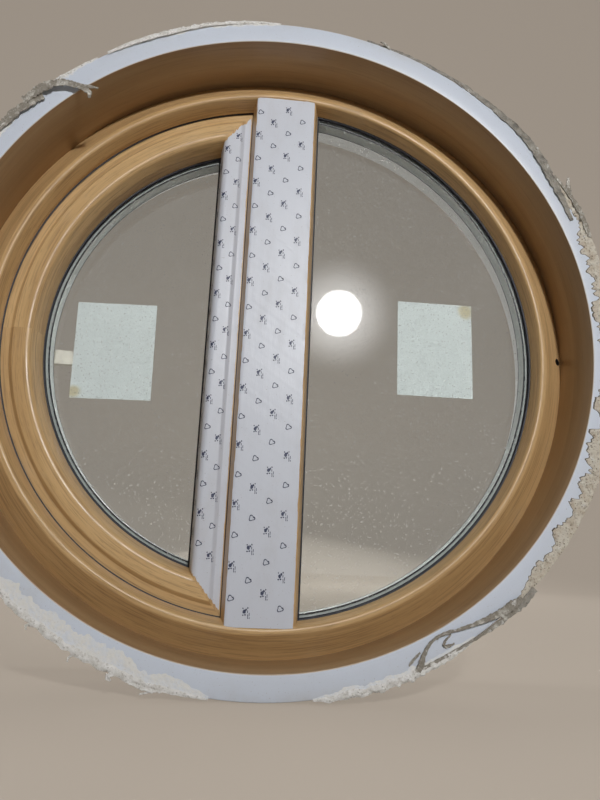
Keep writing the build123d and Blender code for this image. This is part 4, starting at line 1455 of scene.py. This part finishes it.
# Torn strips and shreds as (angle, inset, depth, half width) along each
STRIPS = {
    "strip_left": [
        (141, -2, -2.5, 4.5), (138.5, 0, -4.0, 5.0), (136, 3, -5.6, 5.0), (133.8, 12, -6.6, 4.2),
        (132, 26, -6.4, 3.6), (131.4, 36, -5.6, 2.8), (131.9, 42, -4.0, 1.2)
    ],
    "strip_left_tip": [
        (132.6, 20, -6.2, 1.6), (130.6, 32, -6.4, 1.6), (129.4, 38, -5.2, 0.7)
    ],
    "strip_left_base": [
        (149, 1, -1.6, 3.0), (145, 2, -2.8, 4.5), (141, 4, -3.2, 5.0), (138, 8, -2.4, 3.0)
    ],
    "strip_low": [
        (-46.5, 0, -2.6, 2.4), (-48.5, 2, -3.4, 4.4), (-50.5, 4, -3.4, 3.8), (-52.5, 7, -3.0, 2.6),
        (-55, 11, -2.6, 1.6), (-57.5, 15, -2.0, 1.2), (-60, 19, -1.6, 1.3), (-62, 18.5, -1.8, 1.3),
        (-63.8, 13, -2.2, 1.6), (-65, 6, -2.4, 2.4), (-66, -1, -1.4, 2.6)
    ],
    "strip_low_edge": [
        (-48, -2, -2.6, 3.6), (-51, -2.5, -2.4, 2.6), (-55, -1, -1.8, 1.4), (-60, 0, -1.4, 1.0),
        (-65, 0, -1.4, 1.6)
    ],
    "strip_low_dark": [
        (-44, -3, -1.6, 3.0), (-47, -4, -2.0, 3.4), (-50, -3, -1.8, 2.0), (-52, -1, -1.0, 0.8)
    ],
    "shred_low": [
        (-59.0, 15, -1.6, 0.5), (-60.5, 12, -1.8, 0.9), (-60.6, 8, -1.4, 1.5),
        (-59.2, 6, -1.2, 0.6)
    ],
    "shred_low_b": [
        (-64.6, 14, -0.8, 0.7), (-66.2, 10, -1.8, 0.9), (-67.0, 7, -1.2, 0.5)
    ],
    "curl_right": [
        (27, 0, 2.0, 2.0), (29, -5, -0.5, 3.0), (30.5, -9, -2.2, 2.2), (31.4, -13, -2.8, 1.2)
    ],
    "edge_right_b": [
        (20, -1, -2.0, 2.0), (24, -3, -2.4, 3.0), (28, -3, -2.0, 2.4), (33, -1, -1.0, 1.0)
    ],
    "skin_left_b": [
        (178, 1, -1.6, 2.2), (172, 2, -2.4, 3.4), (164, 2, -2.2, 2.6), (157, 1, -2.4, 3.2),
        (150, 1, -1.4, 1.6)
    ],
    "skin_top_b": [
        (124, 0, -1.4, 1.4), (118, 1, -2.2, 2.6), (111, 1, -2.0, 2.2), (104, 0, -1.8, 1.4),
        (97, 0, -1.2, 1.0)
    ],
    "edge_right": [
        (24, 10, -1.0, 1.8), (28, 8, -1.2, 3.2), (33, 5, -1.4, 4.6), (38, 0, -1.2, 5.0),
        (44, -3, -0.6, 4.2), (51, -2, -0.4, 3.2), (59, -2, 0.0, 2.4), (68, -1, 0.2, 1.6),
        (76, -1, 0.2, 0.9)
    ],
    "curl_top": [
        (71.6, 0, -1.0, 1.2), (72.7, -2.5, -2.0, 1.6), (73.6, -4, -1.8, 0.7)
    ],
    "shred_a": [
        (-117, -3, -1.0, 0.9), (-117.4, -8, 0.5, 0.6), (-117.2, -12, 1.5, 0.3)
    ],
    "shred_b": [
        (-111, -3, -1.0, 1.6), (-111.4, -7, 0.0, 2.0), (-110.8, -9, 0.5, 0.8)
    ],
    "shred_c": [
        (-104.5, -2, -1.0, 0.8), (-105.2, -6, 0.0, 0.7), (-106.4, -11, 0.6, 0.3)
    ],
    "shred_d": [
        (-124, -2, -1.0, 1.2), (-124.8, -6, 0.0, 1.0), (-124.5, -9, 1.0, 0.4)
    ],
    "flake_low": [
        (-103.5, -1, 0.0, 2.0), (-105.5, -3, -0.6, 3.2), (-108, -3, -0.4, 2.6),
        (-110, -2, 0.0, 1.2)
    ],
}
DARK_STRIPS = ("edge_right", "strip_low_dark")
PALE_STRIPS = ("flake_low", "shred_a", "shred_b", "shred_c", "shred_d", "skin_top_b")


class WINDOW_OT_residue(bpy.types.Operator):
    """Old plaster and mastic torn off round the rim, with its strips and shreds"""

    bl_idname = "window.residue"
    bl_label = "Residue"

    def execute(self, context):
        for row in CRUSTS:
            self.crust(*row)
        for number, (name, course) in enumerate(STRIPS.items()):
            finish = "grey mastic" if name in DARK_STRIPS else "torn skin"
            if name in PALE_STRIPS:
                finish = "pale filler"
            self.strip(name, course, number + 1, finish)
        return {"FINISHED"}

    def crust(self, node, first, last, inward, outward, tear, skirt, seed, thin, finish):
        """Crumbly crust over the rim's front edge and down its outer wall."""
        steps = int(math.radians(last - first) * RIM / CRUMB)
        top, wall = 15, 12
        rows = top + wall + 3
        loops = [[] for row in range(rows)]
        for step in range(steps + 1):
            share = step / steps
            angle = first + (last - first) * share
            turn = math.radians(angle)
            swell = math.sin(math.pi * min(max(share, 0.004), 0.996)) ** 0.5
            arc = angle * RIM_DEGREE
            rough = ragged(seed, arc, 0.035) + 0.3 * ragged(seed + 1, arc, 0.14)
            near = RIM - 0.8 - (inward - 0.8) * swell + tear * 0.7 * swell * rough
            near = min(max(near, REVEAL + 2.5), RIM - 0.4)
            bite = 0.75 + 0.25 * ragged(seed + 2, arc, 0.12)
            bulge = 9.0 * math.exp(-((angle - 26) / 6.5) ** 2)
            far = RIM + 0.8 + (outward - 0.8 + bulge) * swell * min(max(bite, 0.2), 1.0)
            section = []
            for point in range(top):
                part = point / (top - 1)
                reach = near + (far - near) * part
                dome = min(1.0, math.sin(math.pi * min(0.97, 0.04 + part * 0.9)) * 1.4)
                lump = roughness_at(around(reach, 0, turn), 0.11, seed)
                grain = roughness_at(around(reach, 3, turn), 0.55, seed)
                rise = min(1.0, max(0.0, (part - thin) / 0.25))
                rise = rise * rise * (3 - 2 * rise)
                thick = min(3.4, max(0.5, 1.8 + 1.6 * lump + 0.7 * grain))
                skim = max(0.12, 0.35 + 0.3 * grain)
                section.append((reach, -dome * swell * (skim + (thick - skim) * rise)))
            torn = 0.66 + 0.24 * ragged(seed + 4, arc, 0.05) + 0.16 * ragged(seed + 5, arc, 0.21)
            down = skirt * min(max(torn, 0.15), 1.0) * swell
            start = section[-1][1]
            for point in range(wall):
                part = (point + 1) / wall
                depth = start + (down - start) * part
                lump = roughness_at(around(far, depth, turn), 0.10, seed + 1)
                proud = (far - RIM - 0.3) * (1 - part * 0.6) * min(1.0, 0.70 + 0.6 * lump)
                section.append((RIM + 0.3 + max(0.15, proud), depth))
            section += [(RIM - 0.1, section[-1][1]), (RIM - 0.1, 0.15), (near, 0.15)]
            for row, (reach, depth) in enumerate(section):
                loops[row].append(tuple(part * MM for part in around(reach, depth, turn)))
        # The thin inner edge of the old plaster crust gets a near-black finish, a painted shadow
        # line
        edge = "smeared filler" if finish == "pale filler" else "dark crack"
        vertices, faces = loft(loops, closed_loop=False)
        faces += end_caps(steps + 1, rows)
        indices = [int(number // steps < (top - 1) * thin) for number in range(len(faces))]
        piece = keep(
            node + "_crumbs", vertices, faces, "frame", "residue", [finish, edge], indices,
            angle=60.0,
        )
        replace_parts(hold_inside(piece), node)

    def strip(self, name, course, seed, finish):
        """Thin torn ribbon along a smooth line through its points."""
        points = []
        for angle, inset, depth, half in course:
            points.append((Vector(around(RIM - inset, depth, math.radians(angle))), half))
        last = len(points) - 1
        steps, columns = 14, 9
        grid = []
        for number in range(last):
            before, near = points[max(number - 1, 0)], points[number]
            far, after = points[number + 1], points[min(number + 2, last)]
            for step in range(steps if number < last - 1 else steps + 1):
                t = step / steps
                weights = (
                    (-t + 2 * t * t - t ** 3) / 2, (2 - 5 * t * t + 3 * t ** 3) / 2,
                    (t + 4 * t * t - 3 * t ** 3) / 2, (t ** 3 - t * t) / 2,
                )
                centre = Vector()
                for weight, place in zip(weights, (before, near, far, after)):
                    centre = centre + weight * place[0]
                half = near[1] + (far[1] - near[1]) * t
                way = (far[0] - near[0]).normalized()
                side = way.cross(Vector((0, -1, 0))).normalized()
                at = number * steps + step
                line = []
                for column in range(columns):
                    share = 2 * column / (columns - 1) - 1
                    tear = 1 + 0.28 * ragged(seed + (share > 0) * 3, at, 0.33) * abs(share)
                    spot = centre + side * half * share * tear
                    spot.y -= 0.9 * share * share * half * 0.22
                    spot.y += 0.45 * roughness_at(spot, 0.35, seed)
                    line.append(tuple(spot * MM))
                grid.append(line)
        piece = slab(
            "residue_" + name, grid, 0.9 * MM, "frame", "residue", [finish], angle=70.0
        )
        hold_inside(piece)


STEPS = (
    WINDOW_OT_stage,
    WINDOW_OT_extension,
    WINDOW_OT_outer_frame,
    WINDOW_OT_mullion,
    WINDOW_OT_sash,
    WINDOW_OT_films,
    WINDOW_OT_glazing,
    WINDOW_OT_beads,
    WINDOW_OT_seals,
    WINDOW_OT_hardware,
    WINDOW_OT_labels,
    WINDOW_OT_residue,
)


class WINDOW_PT_panel(bpy.types.Panel):
    """Lists the window's pieces in the sidebar"""

    bl_idname = "WINDOW_PT_panel"
    bl_label = "Round window"
    bl_space_type = "VIEW_3D"
    bl_region_type = "UI"
    bl_category = "Window"

    def draw(self, context):
        for step in STEPS:
            self.layout.operator(step.bl_idname)
        for group in (context.scene.window_sizes, context.scene.window_finishes):
            box = self.layout.box()
            for name in group.bl_rna.properties.keys():
                if name not in ("rna_type", "name"):
                    box.prop(group, name)


CLASSES = (WindowFinishes, WindowSizes, *STEPS, WINDOW_PT_panel)


def register():
    for made in CLASSES:
        bpy.utils.register_class(made)
    bpy.types.Scene.window_finishes = bpy.props.PointerProperty(type=WindowFinishes)
    bpy.types.Scene.window_sizes = bpy.props.PointerProperty(type=WindowSizes)


def unregister():
    del bpy.types.Scene.window_sizes
    del bpy.types.Scene.window_finishes
    for made in reversed(CLASSES):
        bpy.utils.unregister_class(made)


def main():
    register()
    for step in STEPS:
        group, name = step.bl_idname.split(".")
        getattr(getattr(bpy.ops, group), name)()


if __name__ == "__main__":
    main()
